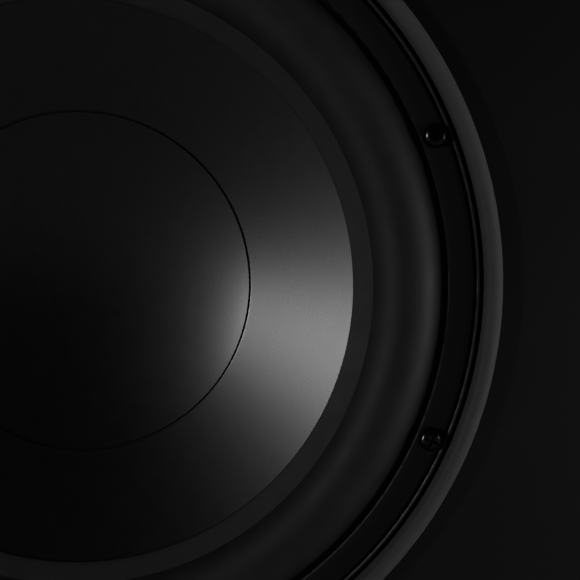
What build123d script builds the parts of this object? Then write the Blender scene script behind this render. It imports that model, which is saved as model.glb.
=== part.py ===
from build123d import *

import os
from math import asin, cos, degrees, radians, sin, sqrt, tan

os.makedirs("parts", exist_ok=True)

# ---------------------------------------------------------------------------
# A sealed, front-firing subwoofer cabinet with a 12 inch driver and a plate
# amplifier on its back. Millimetres, +Z up, the baffle faces -Y. The origin is
# on the floor, under the middle of the whole object's box.
# ---------------------------------------------------------------------------

# --- Cabinet ---
cabinet_width = 410.0
cabinet_height = 410.0
cabinet_depth = 420.0
panel_thickness = 22.0
baffle_thickness = 30.0
edge_radius = 12.0
rear_edge_radius = 3.0
brace_depth = 200.0  # front of the brace, behind the baffle's face
brace_thickness = 18.0
brace_frame_width = 58.0
brace_corner_radius = 45.0
wadding_thickness = 25.0
wadding_margin = 33.0  # from the wadding's long sides to the cabinet's corners
wadding_end_gap = 6.0

# --- Feet ---
foot_height = 20.0
foot_radius = 22.0
foot_base_radius = 19.0
foot_inset = 42.0  # from the cabinet's side to the foot's axis
foot_pocket_radius = 8.0
foot_pocket_depth = 9.0
foot_screw_radius = 2.5
foot_screw_head_radius = 6.5
foot_screw_head_height = 3.5
foot_screw_grip = 17.0  # length in the bottom panel

# --- Clearances ---
screw_clearance = 0.3
glue_line = 0.3  # between a moving part and the flexible part bonded to it
fit_gap = 0.05  # round parts pressed or glued in one body
rebate_gap = 1.4  # around the driver's rim

# --- Driver: rim, clamp ring and screws ---
rim_radius = 152.5
rim_lip_width = 1.2
rim_lip_edge_radius = 0.35
rim_proud = 1.0  # front of the lip and of the clamp ring, in front of the baffle
rim_flange_thickness = 5.0
clamp_ring_gap = 0.9
clamp_ring_width = 9.7
clamp_ring_thickness = 3.0
clamp_ring_edge_radius = 0.6
seal_thickness = 1.5
driver_screw_count = 8
driver_screw_inset = 6.3  # from the rim to the screw circle
driver_screw_radius = 2.5
driver_screw_head_radius = 4.5
driver_screw_head_height = 3.2
driver_screw_length = 26.0
insert_radius = 4.0
insert_length = 15.0

# --- Driver: surround and cone ---
surround_thickness = 1.2
surround_root_gap = 1.6  # clamp ring's bore to the roll's outer root
roll_width = 25.8
roll_height = 9.0
roll_inner_root_depth = 1.5
surround_lip_width = 7.1
cone_angle = 24.7  # between the cone's wall and the baffle
cone_thickness = 1.2
cone_bow = 0.6  # how far the cone's wall bows back from a straight line
cone_edge_inset = 0.5
cone_collar_length = 5.0
cap_radius = 66.3
cap_thickness = 0.9
cap_groove_width = 1.1
cap_edge_slope_drop = 2.2  # degrees flatter at the cap's rim than the cone's straight line

# --- Driver: motor and suspension ---
coil_bore_radius = 38.0
former_thickness = 0.4
former_length = 80.0
winding_thickness = 1.2
winding_height = 30.0
air_gap_outside = 0.8
air_gap_inside = 0.7
spider_drop = 24.0  # from the cone's neck to the spider's landing
spider_thickness = 1.0
spider_waves = 4
spider_wave_height = 1.2
spider_inner_flat = 6.0
spider_outer_radius = 88.0
spider_outer_flat = 10.0
landing_to_motor = 33.0
top_plate_thickness = 10.0
top_plate_radius = 85.0
magnet_radius = 90.0
magnet_thickness = 20.0
magnet_count = 2
back_plate_thickness = 10.0
vent_radius = 14.0
boot_thickness = 3.0
boot_vent_radius = 24.0
boot_start = 2.0
shorting_ring_gap = 2.55  # from the top plate's bore to the ring's
shorting_ring_thickness = 7.0
shorting_ring_height = 15.0
motor_screw_count = 6
motor_screw_circle = 62.0
motor_screw_radius = 2.5
motor_screw_head_radius = 4.4
motor_screw_head_height = 3.0
motor_screw_grip = 9.0

# --- Driver: basket ---
basket_gap = 1.5  # between the basket and the cut-out in the baffle
basket_wall = 4.0
basket_shoulder = 14.0
landing_thickness = 4.0
landing_bore_gap = 0.5  # from the spider's last wave to the landing's bore
seat_thickness = 5.0
seat_bore_radius = 50.0
spoke_count = 6
spoke_width = 14.0
window_margin = 3.0
window_gap = 1.0  # from the spider's landing to the windows
leg_margin = 4.0
cutout_wall = 3.2  # wood between the insert and the cut-out

# --- Driver: terminals ---
terminal_pad_width = 40.0
terminal_pad_height = 4.0
board_thickness = 1.6
terminal_spacing = 24.0
terminal_strip_width = 6.0
terminal_strip_thickness = 0.8
crimp_length = 5.0
crimp_width = 4.0
crimp_height = 3.2
strip_overhang = 3.0
lead_radius = 0.9
wire_radius = 1.4

# --- Trim ring ---
trim_width = 6.0
trim_height = 8.0
trim_inner_round = 2.2
trim_outer_round = 3.4
trim_tongue_inset = 1.4
trim_tongue_width = 2.4
trim_tongue_depth = 4.0

# --- Amplifier plate ---
plate_width = 250.0
plate_height = 310.0
plate_thickness = 3.0
plate_corner_radius = 6.0
plate_overlap = 16.0  # plate's edge to the cut-out in the back panel
amp_gasket_thickness = 1.5
amp_screw_inset = 8.0
amp_screw_radius = 1.9
amp_screw_head_radius = 3.8
amp_screw_head_height = 2.4
amp_screw_grip = 16.0
amp_box_gap = 2.0
amp_box_wall = 2.0
amp_box_depth = 60.0
amp_pillar_radius = 4.0
amp_pillar_height = 10.0
amp_pillar_inset = 12.0

# --- Heat sink ---
sink_width = 200.0
sink_height = 102.0
sink_base = 5.0
fin_height = 20.0
fin_thickness = 2.2
fin_count = 20
sink_centre = 89.0  # above the plate's middle

# --- Controls, across the plate; x, and height above the plate's middle ---
control_row = 12.0
level_x = -88.0
crossover_x = -50.0
phase_x = -10.0
mode_x = 26.0
light_x = 62.0
knob_radius = 9.0
knob_height = 14.5
knob_gap = 0.8
knob_flutes = 24
knob_flute_radius = 0.7
spindle_radius = 3.0
spindle_gap = 0.05
spindle_length = 9.0
pot_size = 17.0
behind_plate = 12.0  # depth of what sits between the plate and the control board
slider_length = 5.0
slider_width = 4.0
slider_proud = 2.0
slider_travel = 3.0
slider_gap = 0.3
slider_depth = 3.6
light_radius = 2.5
light_proud = 1.6

# --- Sockets ---
socket_row = -23.0
phono_x = (-98.0, -78.0, -58.0, -38.0)
phono_shell_radius = 4.15
phono_shell_wall = 0.65
phono_shell_length = 8.5
phono_flange_radius = 7.0
phono_flange_height = 1.6
phono_body_radius = 5.0
phono_pin_radius = 1.65
speaker_socket_x = 2.0
speaker_flange_width = 26.0
speaker_flange_height = 31.0
speaker_flange_thickness = 2.0
speaker_body_radius = 13.0
speaker_hollow_radius = 11.5
speaker_post_radius = 5.0
speaker_hollow_depth = 13.0

# --- Mains module: rocker switch, inlet and fuse drawer in one moulding ---
mains_x = 75.0
mains_row = -95.0
mains_flange_width = 50.0
mains_flange_height = 76.0
mains_flange_thickness = 3.0
mains_body_width = 44.0
mains_body_height = 70.0
mains_body_depth = 22.0  # behind the flange
rocker_row = 25.0
rocker_opening_width = 30.0
rocker_opening_height = 13.0
rocker_width = 26.0
rocker_side_gap = 0.3
rocker_tilt = 10.0
rocker_pivot_depth = 5.0
rocker_body_depth = 4.0
rocker_pocket_depth = 13.0
inlet_width = 24.0
inlet_height = 16.5
inlet_chamfer = 4.5
inlet_depth = 16.0
inlet_pin_width = 2.0
inlet_pin_height = 4.0
inlet_pin_length = 13.0
inlet_pin_spacing = 14.0
drawer_row = -22.0
drawer_width = 26.0
drawer_height = 9.0
drawer_depth = 20.0
drawer_wall = 1.6
drawer_gap = 0.3
drawer_lip_width = 30.0
drawer_lip_height = 11.0
drawer_lip_thickness = 1.6
fuse_radius = 2.5
fuse_length = 20.0

# --- Electronics ---
main_board_low = 32.0
main_board_high = 130.0
main_board_half_width = 98.0
capacitor_radius = 12.5
capacitor_height = 34.0
capacitor_count = 4
capacitor_pitch = 34.0
capacitor_row = 70.0
transistor_count = 4
transistor_pitch = 34.0
transistor_width = 16.0
transistor_height = 21.0
transistor_thickness = 5.0
transistor_row = 114.0
transistor_leg = 1.2
transistor_leg_drop = 5.0
transistor_leg_spacing = 5.5
toroid_x = -45.0
toroid_row = -88.0
toroid_radius = 42.0
toroid_bore_radius = 14.0
toroid_height = 36.0
toroid_round = 10.0
toroid_washer_radius = 30.0
toroid_washer_thickness = 2.0
toroid_bolt_radius = 3.0
toroid_bolt_head_radius = 6.0
toroid_bolt_head_height = 2.6
toroid_nut_height = 5.0

# --- Overall places ---
sink_proud = amp_gasket_thickness + plate_thickness + sink_base + fin_height
total_depth = trim_height + cabinet_depth + sink_proud
front_y = trim_height - total_depth / 2  # the baffle's front face
axis_z = foot_height + cabinet_height / 2  # the driver's axis, and the plate's middle
inner_width = cabinet_width - 2 * panel_thickness
inner_height = cabinet_height - 2 * panel_thickness

# --- Driver radii, from the rim inwards ---
rebate_radius = rim_radius + rebate_gap
lip_inner_radius = rim_radius - rim_lip_width
clamp_ring_outer = lip_inner_radius - clamp_ring_gap
clamp_ring_inner = clamp_ring_outer - clamp_ring_width
screw_circle = rim_radius - driver_screw_inset
roll_outer_root = clamp_ring_inner - surround_root_gap
roll_inner_root = roll_outer_root - roll_width
roll_middle = (roll_outer_root + roll_inner_root) / 2
surround_lip_radius = roll_inner_root - surround_lip_width
cone_edge_radius = roll_inner_root - cone_edge_inset
cone_step_radius = cap_radius + cap_groove_width
cutout_radius = screw_circle - insert_radius - cutout_wall
basket_radius = cutout_radius - basket_gap
basket_bore = basket_radius - basket_wall
former_radius = coil_bore_radius + former_thickness
neck_radius = former_radius + fit_gap

# --- Driver depths, behind the baffle's front face ---
clamp_front = -rim_proud
surround_front = clamp_front + clamp_ring_thickness
flange_front = surround_front + surround_thickness
flange_back = flange_front + rim_flange_thickness
rebate_depth = flange_back + seal_thickness
cone_slope = tan(radians(cone_angle))
cone_wall_depth = cone_thickness / cos(radians(cone_angle))
lip_wall_depth = surround_thickness / cos(radians(cone_angle))
cone_edge_depth = roll_inner_root_depth + lip_wall_depth + glue_line
step_depth = cap_thickness / cos(radians(cone_angle)) + fit_gap


def cone_front(radius):
    """Depth of the cone's front at a radius, on a straight line from its edge."""
    return cone_edge_depth + cone_slope * (roll_inner_root - radius)


def cone_face(radius):
    """Depth of the bowed wall's front surface, between the cap's step and the cone's edge."""
    share = (radius - cone_step_radius) / (cone_edge_radius - cone_step_radius)
    return cone_front(radius) + 4 * cone_bow * share * (1 - share)


neck_depth = cone_front(neck_radius) + step_depth
former_start = neck_depth + cone_wall_depth / 2
landing_depth = neck_depth + spider_drop
motor_depth = landing_depth + landing_to_motor
gap_centre = motor_depth + top_plate_thickness / 2
magnet_start = motor_depth + top_plate_thickness
back_plate_start = magnet_start + magnet_count * magnet_thickness
motor_end = back_plate_start + back_plate_thickness
landing_outer_radius = spider_outer_radius + basket_wall
landing_inner_radius = spider_outer_radius - spider_outer_flat + landing_bore_gap
leg_outer_radius = landing_outer_radius - window_margin

# --- Plate depths, behind the baffle's front face ---
back_start = cabinet_depth - panel_thickness
plate_inside = cabinet_depth + amp_gasket_thickness
plate_outside = plate_inside + plate_thickness
control_board_start = plate_inside - behind_plate - board_thickness
amp_box_start = plate_inside - amp_box_depth
main_board_start = amp_box_start + amp_box_wall + amp_pillar_height
amp_cutout_width = plate_width - 2 * plate_overlap
amp_cutout_height = plate_height - 2 * plate_overlap
amp_box_width = amp_cutout_width - 2 * amp_box_gap
amp_box_height = amp_cutout_height - 2 * amp_box_gap

driver_axis = Axis(origin=(0, front_y, axis_z), direction=(0, 1, 0))
driver_section = Plane(origin=(0, front_y, axis_z), x_dir=(1, 0, 0), z_dir=(0, 0, 1))


def facing(depth, x=0.0, height=0.0):
    """Plane at a depth behind the baffle's face, looking out of the front."""
    return Plane(origin=(x, front_y + depth, axis_z + height), x_dir=(1, 0, 0), z_dir=(0, -1, 0))


def turned(x, height):
    """Section plane of a round part whose axis runs along Y: radius, then depth."""
    return Plane(origin=(x, front_y, axis_z + height), x_dir=(1, 0, 0), z_dir=(0, 0, 1))


def turning_axis(x, height):
    """Axis along Y through a place on the plate."""
    return Axis(origin=(x, front_y, axis_z + height), direction=(0, 1, 0))


def save(piece, name):
    """Label a piece and write its STEP file."""
    piece.label = name
    export_step(piece, f"parts/{name}.step")


# ---------------------------------------------------------------------------
# Cabinet panels
# ---------------------------------------------------------------------------

driver_screw_angle = 180.0 / driver_screw_count
amp_screw_x = plate_width / 2 - amp_screw_inset
amp_screw_z = plate_height / 2 - amp_screw_inset
amp_screw_places = [
    (side * amp_screw_x, row * amp_screw_z) for side in (-1, 1) for row in (-1, -1 / 3, 1 / 3, 1)
]
amp_screw_places += [(0, amp_screw_z), (0, -amp_screw_z)]

tongue_inner = rebate_radius + trim_tongue_inset
tongue_outer = tongue_inner + trim_tongue_width

with BuildPart() as front_baffle:
    with BuildSketch(facing(baffle_thickness)):
        RectangleRounded(cabinet_width, cabinet_height, edge_radius)
    extrude(amount=baffle_thickness)
    fillet(front_baffle.faces().sort_by(Axis.Y)[0].edges(), radius=edge_radius * 0.8)
    with BuildSketch(facing(baffle_thickness)):
        Circle(cutout_radius)
    extrude(amount=baffle_thickness, mode=Mode.SUBTRACT)
    with BuildSketch(facing(rebate_depth)):
        Circle(rebate_radius)
    extrude(amount=rebate_depth, mode=Mode.SUBTRACT)
    with BuildSketch(facing(trim_tongue_depth + fit_gap)):
        Circle(tongue_outer + fit_gap)
        Circle(tongue_inner - fit_gap, mode=Mode.SUBTRACT)
    extrude(amount=trim_tongue_depth + fit_gap, mode=Mode.SUBTRACT)
    with BuildSketch(facing(baffle_thickness)):
        with PolarLocations(screw_circle, driver_screw_count, start_angle=driver_screw_angle):
            Circle(insert_radius + fit_gap)
    extrude(amount=baffle_thickness, mode=Mode.SUBTRACT)
save(front_baffle.part, "front_baffle")

side_depth = cabinet_depth - baffle_thickness
for name, side in (("left_panel", -1), ("right_panel", 1)):
    side_x = side * (cabinet_width - panel_thickness) / 2
    with BuildPart() as side_panel:
        with BuildSketch(facing(cabinet_depth, side_x)):
            Rectangle(panel_thickness, inner_height)
        extrude(amount=side_depth)
        rear = side_panel.faces().sort_by(Axis.Y)[-1]
        fillet(rear.edges().filter_by(Axis.Z).sort_by(Axis.X)[0 if side < 0 else -1], rear_edge_radius)
    save(side_panel.part, name)

for name, side in (("top_panel", 1), ("bottom_panel", -1)):
    panel_row = side * (cabinet_height - panel_thickness) / 2
    outside = 0 if side < 0 else -1
    with BuildPart() as level_panel:
        with BuildSketch(facing(cabinet_depth, 0, panel_row)) as outline:
            Rectangle(cabinet_width, panel_thickness)
            fillet(outline.vertices().group_by(Axis.Y)[outside], edge_radius)
        extrude(amount=side_depth)
        rear = level_panel.faces().sort_by(Axis.Y)[-1]
        fillet(rear.edges().filter_by(Axis.X).sort_by(Axis.Z)[outside], rear_edge_radius)
        if side < 0:
            foot_x = cabinet_width / 2 - foot_inset
            foot_y = cabinet_depth / 2 - foot_inset
            with BuildSketch(Plane((0, front_y + cabinet_depth / 2, foot_height))):
                with GridLocations(2 * foot_x, 2 * foot_y, 2, 2):
                    Circle(foot_screw_radius + fit_gap)
            extrude(amount=foot_screw_grip + fit_gap, mode=Mode.SUBTRACT)
    save(level_panel.part, name)

with BuildPart() as back_panel:
    with BuildSketch(facing(cabinet_depth)):
        Rectangle(inner_width, inner_height)
        Rectangle(amp_cutout_width, amp_cutout_height, mode=Mode.SUBTRACT)
    extrude(amount=panel_thickness)
    with BuildSketch(facing(cabinet_depth)):
        with Locations(*amp_screw_places):
            Circle(amp_screw_radius + fit_gap)
    extrude(amount=amp_screw_grip, mode=Mode.SUBTRACT)
save(back_panel.part, "back_panel")

with BuildPart() as window_brace:
    with BuildSketch(facing(brace_depth + brace_thickness)):
        Rectangle(inner_width, inner_height)
        RectangleRounded(
            inner_width - 2 * brace_frame_width,
            inner_height - 2 * brace_frame_width,
            brace_corner_radius,
            mode=Mode.SUBTRACT,
        )
    extrude(amount=brace_thickness)
save(window_brace.part, "window_brace")

# Four soft pads line the walls behind the brace.
wadding_start = brace_depth + brace_thickness + wadding_end_gap
wadding_end = back_start - wadding_end_gap
with BuildPart() as wall_wadding:
    with BuildSketch(facing(wadding_end)):
        with GridLocations(inner_width - wadding_thickness, 1, 2, 1):
            Rectangle(wadding_thickness, inner_height - 2 * wadding_margin)
        with GridLocations(1, inner_height - wadding_thickness, 1, 2):
            Rectangle(inner_width - 2 * wadding_margin, wadding_thickness)
    extrude(amount=wadding_end - wadding_start)
save(wall_wadding.part, "wall_wadding")

# ---------------------------------------------------------------------------
# Feet and their screws
# ---------------------------------------------------------------------------

foot_places = GridLocations(2 * foot_x, 2 * foot_y, 2, 2)
foot_origin = Plane((0, front_y + cabinet_depth / 2, 0))
with BuildPart() as feet:
    with BuildSketch(foot_origin):
        with foot_places:
            Circle(foot_base_radius)
    foot_taper = degrees(asin((foot_radius - foot_base_radius) / foot_height))
    extrude(amount=foot_height, taper=-foot_taper)
    with BuildSketch(foot_origin):
        with foot_places:
            Circle(foot_pocket_radius)
    extrude(amount=foot_pocket_depth, mode=Mode.SUBTRACT)
    with BuildSketch(foot_origin):
        with foot_places:
            Circle(foot_screw_radius + screw_clearance)
    extrude(amount=foot_height, mode=Mode.SUBTRACT)
save(feet.part, "feet")

with BuildPart() as foot_screws:
    head_start = foot_pocket_depth - foot_screw_head_height
    with BuildSketch(foot_origin.offset(head_start)):
        with foot_places:
            Circle(foot_screw_head_radius)
    extrude(amount=foot_screw_head_height)
    low_rims = foot_screws.edges().group_by(Axis.Z)[0]
    fillet(low_rims, foot_screw_head_height * 0.5)
    with BuildSketch(foot_origin.offset(foot_pocket_depth)):
        with foot_places:
            Circle(foot_screw_radius)
    extrude(amount=foot_height - foot_pocket_depth + foot_screw_grip)
    with BuildSketch(foot_origin.offset(head_start)):
        with foot_places:
            Rectangle(foot_screw_head_radius, foot_screw_radius * 0.5)
            Rectangle(foot_screw_radius * 0.5, foot_screw_head_radius)
    extrude(amount=foot_screw_head_height * 0.55, mode=Mode.SUBTRACT)
save(foot_screws.part, "foot_screws")

# ---------------------------------------------------------------------------
# Trim ring around the driver
# ---------------------------------------------------------------------------

trim_inner = rebate_radius + 2 * fit_gap
trim_outer = trim_inner + trim_width
with BuildPart() as trim_ring:
    with BuildSketch(driver_section) as ring_profile:
        with BuildLine():
            Polyline(
                (trim_inner, 0),
                (trim_inner, -trim_height),
                (trim_outer, -trim_height),
                (trim_outer, 0),
                (tongue_outer, 0),
                (tongue_outer, trim_tongue_depth),
                (tongue_inner, trim_tongue_depth),
                (tongue_inner, 0),
                close=True,
            )
        make_face()
        crown = ring_profile.vertices().group_by(Axis.Y)[0].sort_by(Axis.X)
        fillet(crown[0], trim_inner_round)
        fillet(ring_profile.vertices().group_by(Axis.Y)[0].sort_by(Axis.X)[-1], trim_outer_round)
    revolve(axis=driver_axis)
save(trim_ring.part, "trim_ring")

# ---------------------------------------------------------------------------
# Driver: clamp ring, screws, inserts and seal
# ---------------------------------------------------------------------------

screw_circle_places = PolarLocations(screw_circle, driver_screw_count, start_angle=driver_screw_angle)
screw_hole_radius = driver_screw_radius + screw_clearance


with BuildPart() as clamp_ring:
    with BuildSketch(facing(surround_front)):
        Circle(clamp_ring_outer)
        Circle(clamp_ring_inner, mode=Mode.SUBTRACT)
    extrude(amount=clamp_ring_thickness)
    fillet(clamp_ring.faces().sort_by(Axis.Y)[0].edges(), clamp_ring_edge_radius)
    with BuildSketch(facing(surround_front)):
        with screw_circle_places:
            Circle(screw_hole_radius)
    extrude(amount=clamp_ring_thickness, mode=Mode.SUBTRACT)
save(clamp_ring.part, "clamp_ring")

with BuildPart() as driver_screws:
    with BuildSketch(facing(clamp_front)):
        with screw_circle_places:
            Circle(driver_screw_head_radius)
    extrude(amount=driver_screw_head_height)
    dome_edges = driver_screws.edges().group_by(Axis.Y)[0]
    fillet(dome_edges, driver_screw_head_height * 0.75)
    with BuildSketch(facing(clamp_front + driver_screw_length)):
        with screw_circle_places:
            Circle(driver_screw_radius)
    extrude(amount=driver_screw_length)
    with BuildSketch(facing(clamp_front - driver_screw_head_height * 0.4)):
        with screw_circle_places:
            Rectangle(driver_screw_head_radius, driver_screw_head_radius * 0.2)
            Rectangle(driver_screw_head_radius * 0.2, driver_screw_head_radius)
    extrude(amount=driver_screw_head_height, mode=Mode.SUBTRACT)
save(driver_screws.part, "driver_screws")

with BuildPart() as threaded_inserts:
    with BuildSketch(facing(rebate_depth + insert_length)):
        with screw_circle_places:
            Circle(insert_radius)
            Circle(driver_screw_radius + fit_gap, mode=Mode.SUBTRACT)
    extrude(amount=insert_length)
save(threaded_inserts.part, "threaded_inserts")

with BuildPart() as driver_seal:
    with BuildSketch(facing(rebate_depth)):
        Circle(rim_radius - rim_lip_width)
        Circle(cutout_radius + rim_lip_width, mode=Mode.SUBTRACT)
        with screw_circle_places:
            Circle(screw_hole_radius, mode=Mode.SUBTRACT)
    extrude(amount=seal_thickness)
save(driver_seal.part, "driver_seal")

# ---------------------------------------------------------------------------
# Driver: basket
# ---------------------------------------------------------------------------

shoulder_depth = flange_back + basket_shoulder
pad_top = leg_outer_radius + terminal_pad_height
motor_screw_places = PolarLocations(motor_screw_circle, motor_screw_count)

with BuildPart() as basket:
    with BuildSketch(driver_section) as basket_profile:
        with BuildLine():
            Polyline(
                (lip_inner_radius, clamp_front),
                (rim_radius, clamp_front),
                (rim_radius, flange_back),
                (basket_radius, flange_back),
                (basket_radius, shoulder_depth),
                (landing_outer_radius, landing_depth + landing_thickness),
                (leg_outer_radius, landing_depth + landing_thickness),
                (leg_outer_radius, motor_depth),
                (seat_bore_radius, motor_depth),
                (seat_bore_radius, motor_depth - seat_thickness),
                (leg_outer_radius - basket_wall, motor_depth - seat_thickness),
                (leg_outer_radius - basket_wall, landing_depth + landing_thickness),
                (landing_inner_radius, landing_depth + landing_thickness),
                (landing_inner_radius, landing_depth),
                (spider_outer_radius + fit_gap, landing_depth),
                (basket_bore, shoulder_depth - basket_wall / 2),
                (basket_bore, flange_front),
                (lip_inner_radius, flange_front),
                close=True,
            )
        make_face()
        fillet(basket_profile.vertices().group_by(Axis.Y)[0], rim_lip_edge_radius)
    revolve(axis=driver_axis)
    # Six windows in the sloping wall leave six spokes.
    with BuildSketch(facing(landing_depth + landing_thickness)):
        Circle(basket_bore - window_margin)
        Circle(landing_outer_radius + window_gap, mode=Mode.SUBTRACT)
        for spoke in range(spoke_count // 2):
            with Locations(Rotation(0, 0, spoke * 360 / spoke_count)):
                Rectangle(2 * basket_bore, spoke_width, mode=Mode.SUBTRACT)
    extrude(amount=landing_depth + landing_thickness - flange_back, mode=Mode.SUBTRACT)
    # Six more open the short wall that stands on the motor.
    with BuildSketch(facing(motor_depth - seat_thickness - leg_margin)):
        Circle(landing_outer_radius + window_gap)
        Circle(landing_inner_radius, mode=Mode.SUBTRACT)
        for spoke in range(spoke_count // 2):
            with Locations(Rotation(0, 0, spoke * 360 / spoke_count)):
                Rectangle(2 * basket_bore, spoke_width, mode=Mode.SUBTRACT)
    leg_window = landing_to_motor - landing_thickness - seat_thickness - 2 * leg_margin
    extrude(amount=leg_window, mode=Mode.SUBTRACT)
    # A flat pad on top carries the terminal board.
    with BuildSketch(facing(motor_depth - leg_margin)):
        with Locations((0, pad_top - (terminal_pad_height + basket_wall) / 2)):
            Rectangle(terminal_pad_width, terminal_pad_height + basket_wall)
    extrude(amount=landing_to_motor - 2 * leg_margin)
    with BuildSketch(facing(flange_back)):
        with screw_circle_places:
            Circle(screw_hole_radius)
    extrude(amount=rim_flange_thickness, mode=Mode.SUBTRACT)
    with BuildSketch(facing(motor_depth)):
        with motor_screw_places:
            Circle(motor_screw_radius + screw_clearance)
    extrude(amount=seat_thickness, mode=Mode.SUBTRACT)
save(basket.part, "basket")

# ---------------------------------------------------------------------------
# Driver: motor
# ---------------------------------------------------------------------------

gap_outer_radius = former_radius + winding_thickness + air_gap_outside
pole_radius = coil_bore_radius - air_gap_inside
shorting_ring_inner = gap_outer_radius + shorting_ring_gap
shorting_ring_outer = shorting_ring_inner + shorting_ring_thickness
magnet_bore_radius = shorting_ring_outer + fit_gap

with BuildPart() as top_plate:
    with BuildSketch(facing(motor_depth + top_plate_thickness)):
        Circle(top_plate_radius)
        Circle(gap_outer_radius, mode=Mode.SUBTRACT)
    extrude(amount=top_plate_thickness)
    with BuildSketch(facing(motor_depth + motor_screw_grip)):
        with motor_screw_places:
            Circle(motor_screw_radius + fit_gap)
    extrude(amount=motor_screw_grip, mode=Mode.SUBTRACT)
save(top_plate.part, "top_plate")

with BuildPart() as magnet_rings:
    for ring in range(magnet_count):
        ring_end = magnet_start + (ring + 1) * magnet_thickness
        with BuildSketch(facing(ring_end)):
            Circle(magnet_radius)
            Circle(magnet_bore_radius, mode=Mode.SUBTRACT)
        extrude(amount=magnet_thickness - glue_line)
save(magnet_rings.part, "magnet_rings")

with BuildPart() as yoke:
    with BuildSketch(driver_section):
        with BuildLine():
            Polyline(
                (vent_radius, motor_depth),
                (pole_radius, motor_depth),
                (pole_radius, back_plate_start),
                (top_plate_radius, back_plate_start),
                (top_plate_radius, motor_end),
                (vent_radius, motor_end),
                close=True,
            )
        make_face()
    revolve(axis=driver_axis)
save(yoke.part, "yoke")

with BuildPart() as shorting_ring:
    with BuildSketch(facing(magnet_start + shorting_ring_height)):
        Circle(shorting_ring_outer)
        Circle(shorting_ring_inner, mode=Mode.SUBTRACT)
    extrude(amount=shorting_ring_height)
save(shorting_ring.part, "shorting_ring")

boot_inner = magnet_radius + fit_gap
with BuildPart() as magnet_boot:
    with BuildSketch(driver_section):
        with BuildLine():
            Polyline(
                (boot_inner, motor_depth + boot_start),
                (boot_inner + boot_thickness, motor_depth + boot_start),
                (boot_inner + boot_thickness, motor_end + boot_thickness),
                (boot_vent_radius, motor_end + boot_thickness),
                (boot_vent_radius, motor_end),
                (boot_inner, motor_end),
                close=True,
            )
        make_face()
    revolve(axis=driver_axis)
    fillet(magnet_boot.faces().sort_by(Axis.Y)[-1].edges(), boot_thickness * 0.6)
save(magnet_boot.part, "magnet_boot")

seat_front = motor_depth - seat_thickness
with BuildPart() as motor_screws:
    with BuildSketch(facing(seat_front)):
        with motor_screw_places:
            Circle(motor_screw_head_radius)
    extrude(amount=motor_screw_head_height)
    with BuildSketch(facing(motor_depth + motor_screw_grip - fit_gap)):
        with motor_screw_places:
            Circle(motor_screw_radius)
    extrude(amount=seat_thickness + motor_screw_grip - fit_gap)
    with BuildSketch(facing(seat_front - motor_screw_head_height * 0.4)):
        with motor_screw_places:
            RegularPolygon(motor_screw_radius * 0.9, 6)
    extrude(amount=motor_screw_head_height, mode=Mode.SUBTRACT)
save(motor_screws.part, "motor_screws")

# ---------------------------------------------------------------------------
# Driver: moving assembly
# ---------------------------------------------------------------------------

with BuildPart() as cone:
    back_step = cone_step_radius + cap_groove_width
    back_flat = back_step + 2 * cone_thickness
    collar_radius = neck_radius + cone_thickness
    collar_depth = cone_front(collar_radius) + step_depth + cone_wall_depth
    front_middle = (cone_step_radius + cone_edge_radius) / 2
    back_middle = (back_flat + cone_edge_radius) / 2
    with BuildSketch(driver_section):
        with BuildLine():
            Polyline(
                (neck_radius, neck_depth),
                (cone_step_radius, cone_front(cone_step_radius) + step_depth),
                (cone_step_radius, cone_face(cone_step_radius)),
            )
            ThreePointArc(
                (cone_step_radius, cone_face(cone_step_radius)),
                (front_middle, cone_face(front_middle)),
                (cone_edge_radius, cone_face(cone_edge_radius)),
            )
            Line(
                (cone_edge_radius, cone_face(cone_edge_radius)),
                (cone_edge_radius, cone_face(cone_edge_radius) + cone_wall_depth),
            )
            ThreePointArc(
                (cone_edge_radius, cone_face(cone_edge_radius) + cone_wall_depth),
                (back_middle, cone_face(back_middle) + cone_wall_depth),
                (back_flat, cone_face(back_flat) + cone_wall_depth),
            )
            Polyline(
                (back_flat, cone_face(back_flat) + cone_wall_depth),
                (back_step, cone_front(back_step) + cone_wall_depth + step_depth),
                (collar_radius, collar_depth),
                (collar_radius, collar_depth + cone_collar_length),
                (neck_radius, collar_depth + cone_collar_length),
                (neck_radius, neck_depth),
            )
        make_face()
    revolve(axis=driver_axis)
save(cone.part, "cone")

# The cap is a shallow dish whose rim lies flush with the cone.
cap_edge_angle = radians(cone_angle - cap_edge_slope_drop)
dish_radius = cap_radius / sin(cap_edge_angle)
dish_centre = cone_front(cap_radius) - dish_radius * cos(cap_edge_angle)
dish_back_radius = dish_radius + cap_thickness
cap_middle = cap_edge_angle / 2


def dish_point(radius, angle):
    """Point on a dish-shaped surface, as radius from the axis and depth."""
    return (radius * sin(angle), dish_centre + radius * cos(angle))


with BuildPart() as dust_cap:
    with BuildSketch(driver_section):
        with BuildLine():
            ThreePointArc(
                dish_point(dish_radius, 0),
                dish_point(dish_radius, cap_middle),
                dish_point(dish_radius, cap_edge_angle),
            )
            Line(dish_point(dish_radius, cap_edge_angle), dish_point(dish_back_radius, cap_edge_angle))
            ThreePointArc(
                dish_point(dish_back_radius, cap_edge_angle),
                dish_point(dish_back_radius, cap_middle),
                dish_point(dish_back_radius, 0),
            )
            Line(dish_point(dish_back_radius, 0), dish_point(dish_radius, 0))
        make_face()
    revolve(axis=driver_axis)
save(dust_cap.part, "dust_cap")

with BuildPart() as coil_former:
    with BuildSketch(facing(former_start + former_length)):
        Circle(former_radius)
        Circle(coil_bore_radius, mode=Mode.SUBTRACT)
    extrude(amount=former_length)
save(coil_former.part, "coil_former")

with BuildPart() as voice_coil:
    with BuildSketch(facing(gap_centre + winding_height / 2)):
        Circle(former_radius + winding_thickness)
        Circle(former_radius + fit_gap, mode=Mode.SUBTRACT)
    extrude(amount=winding_height)
save(voice_coil.part, "voice_coil")

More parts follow.
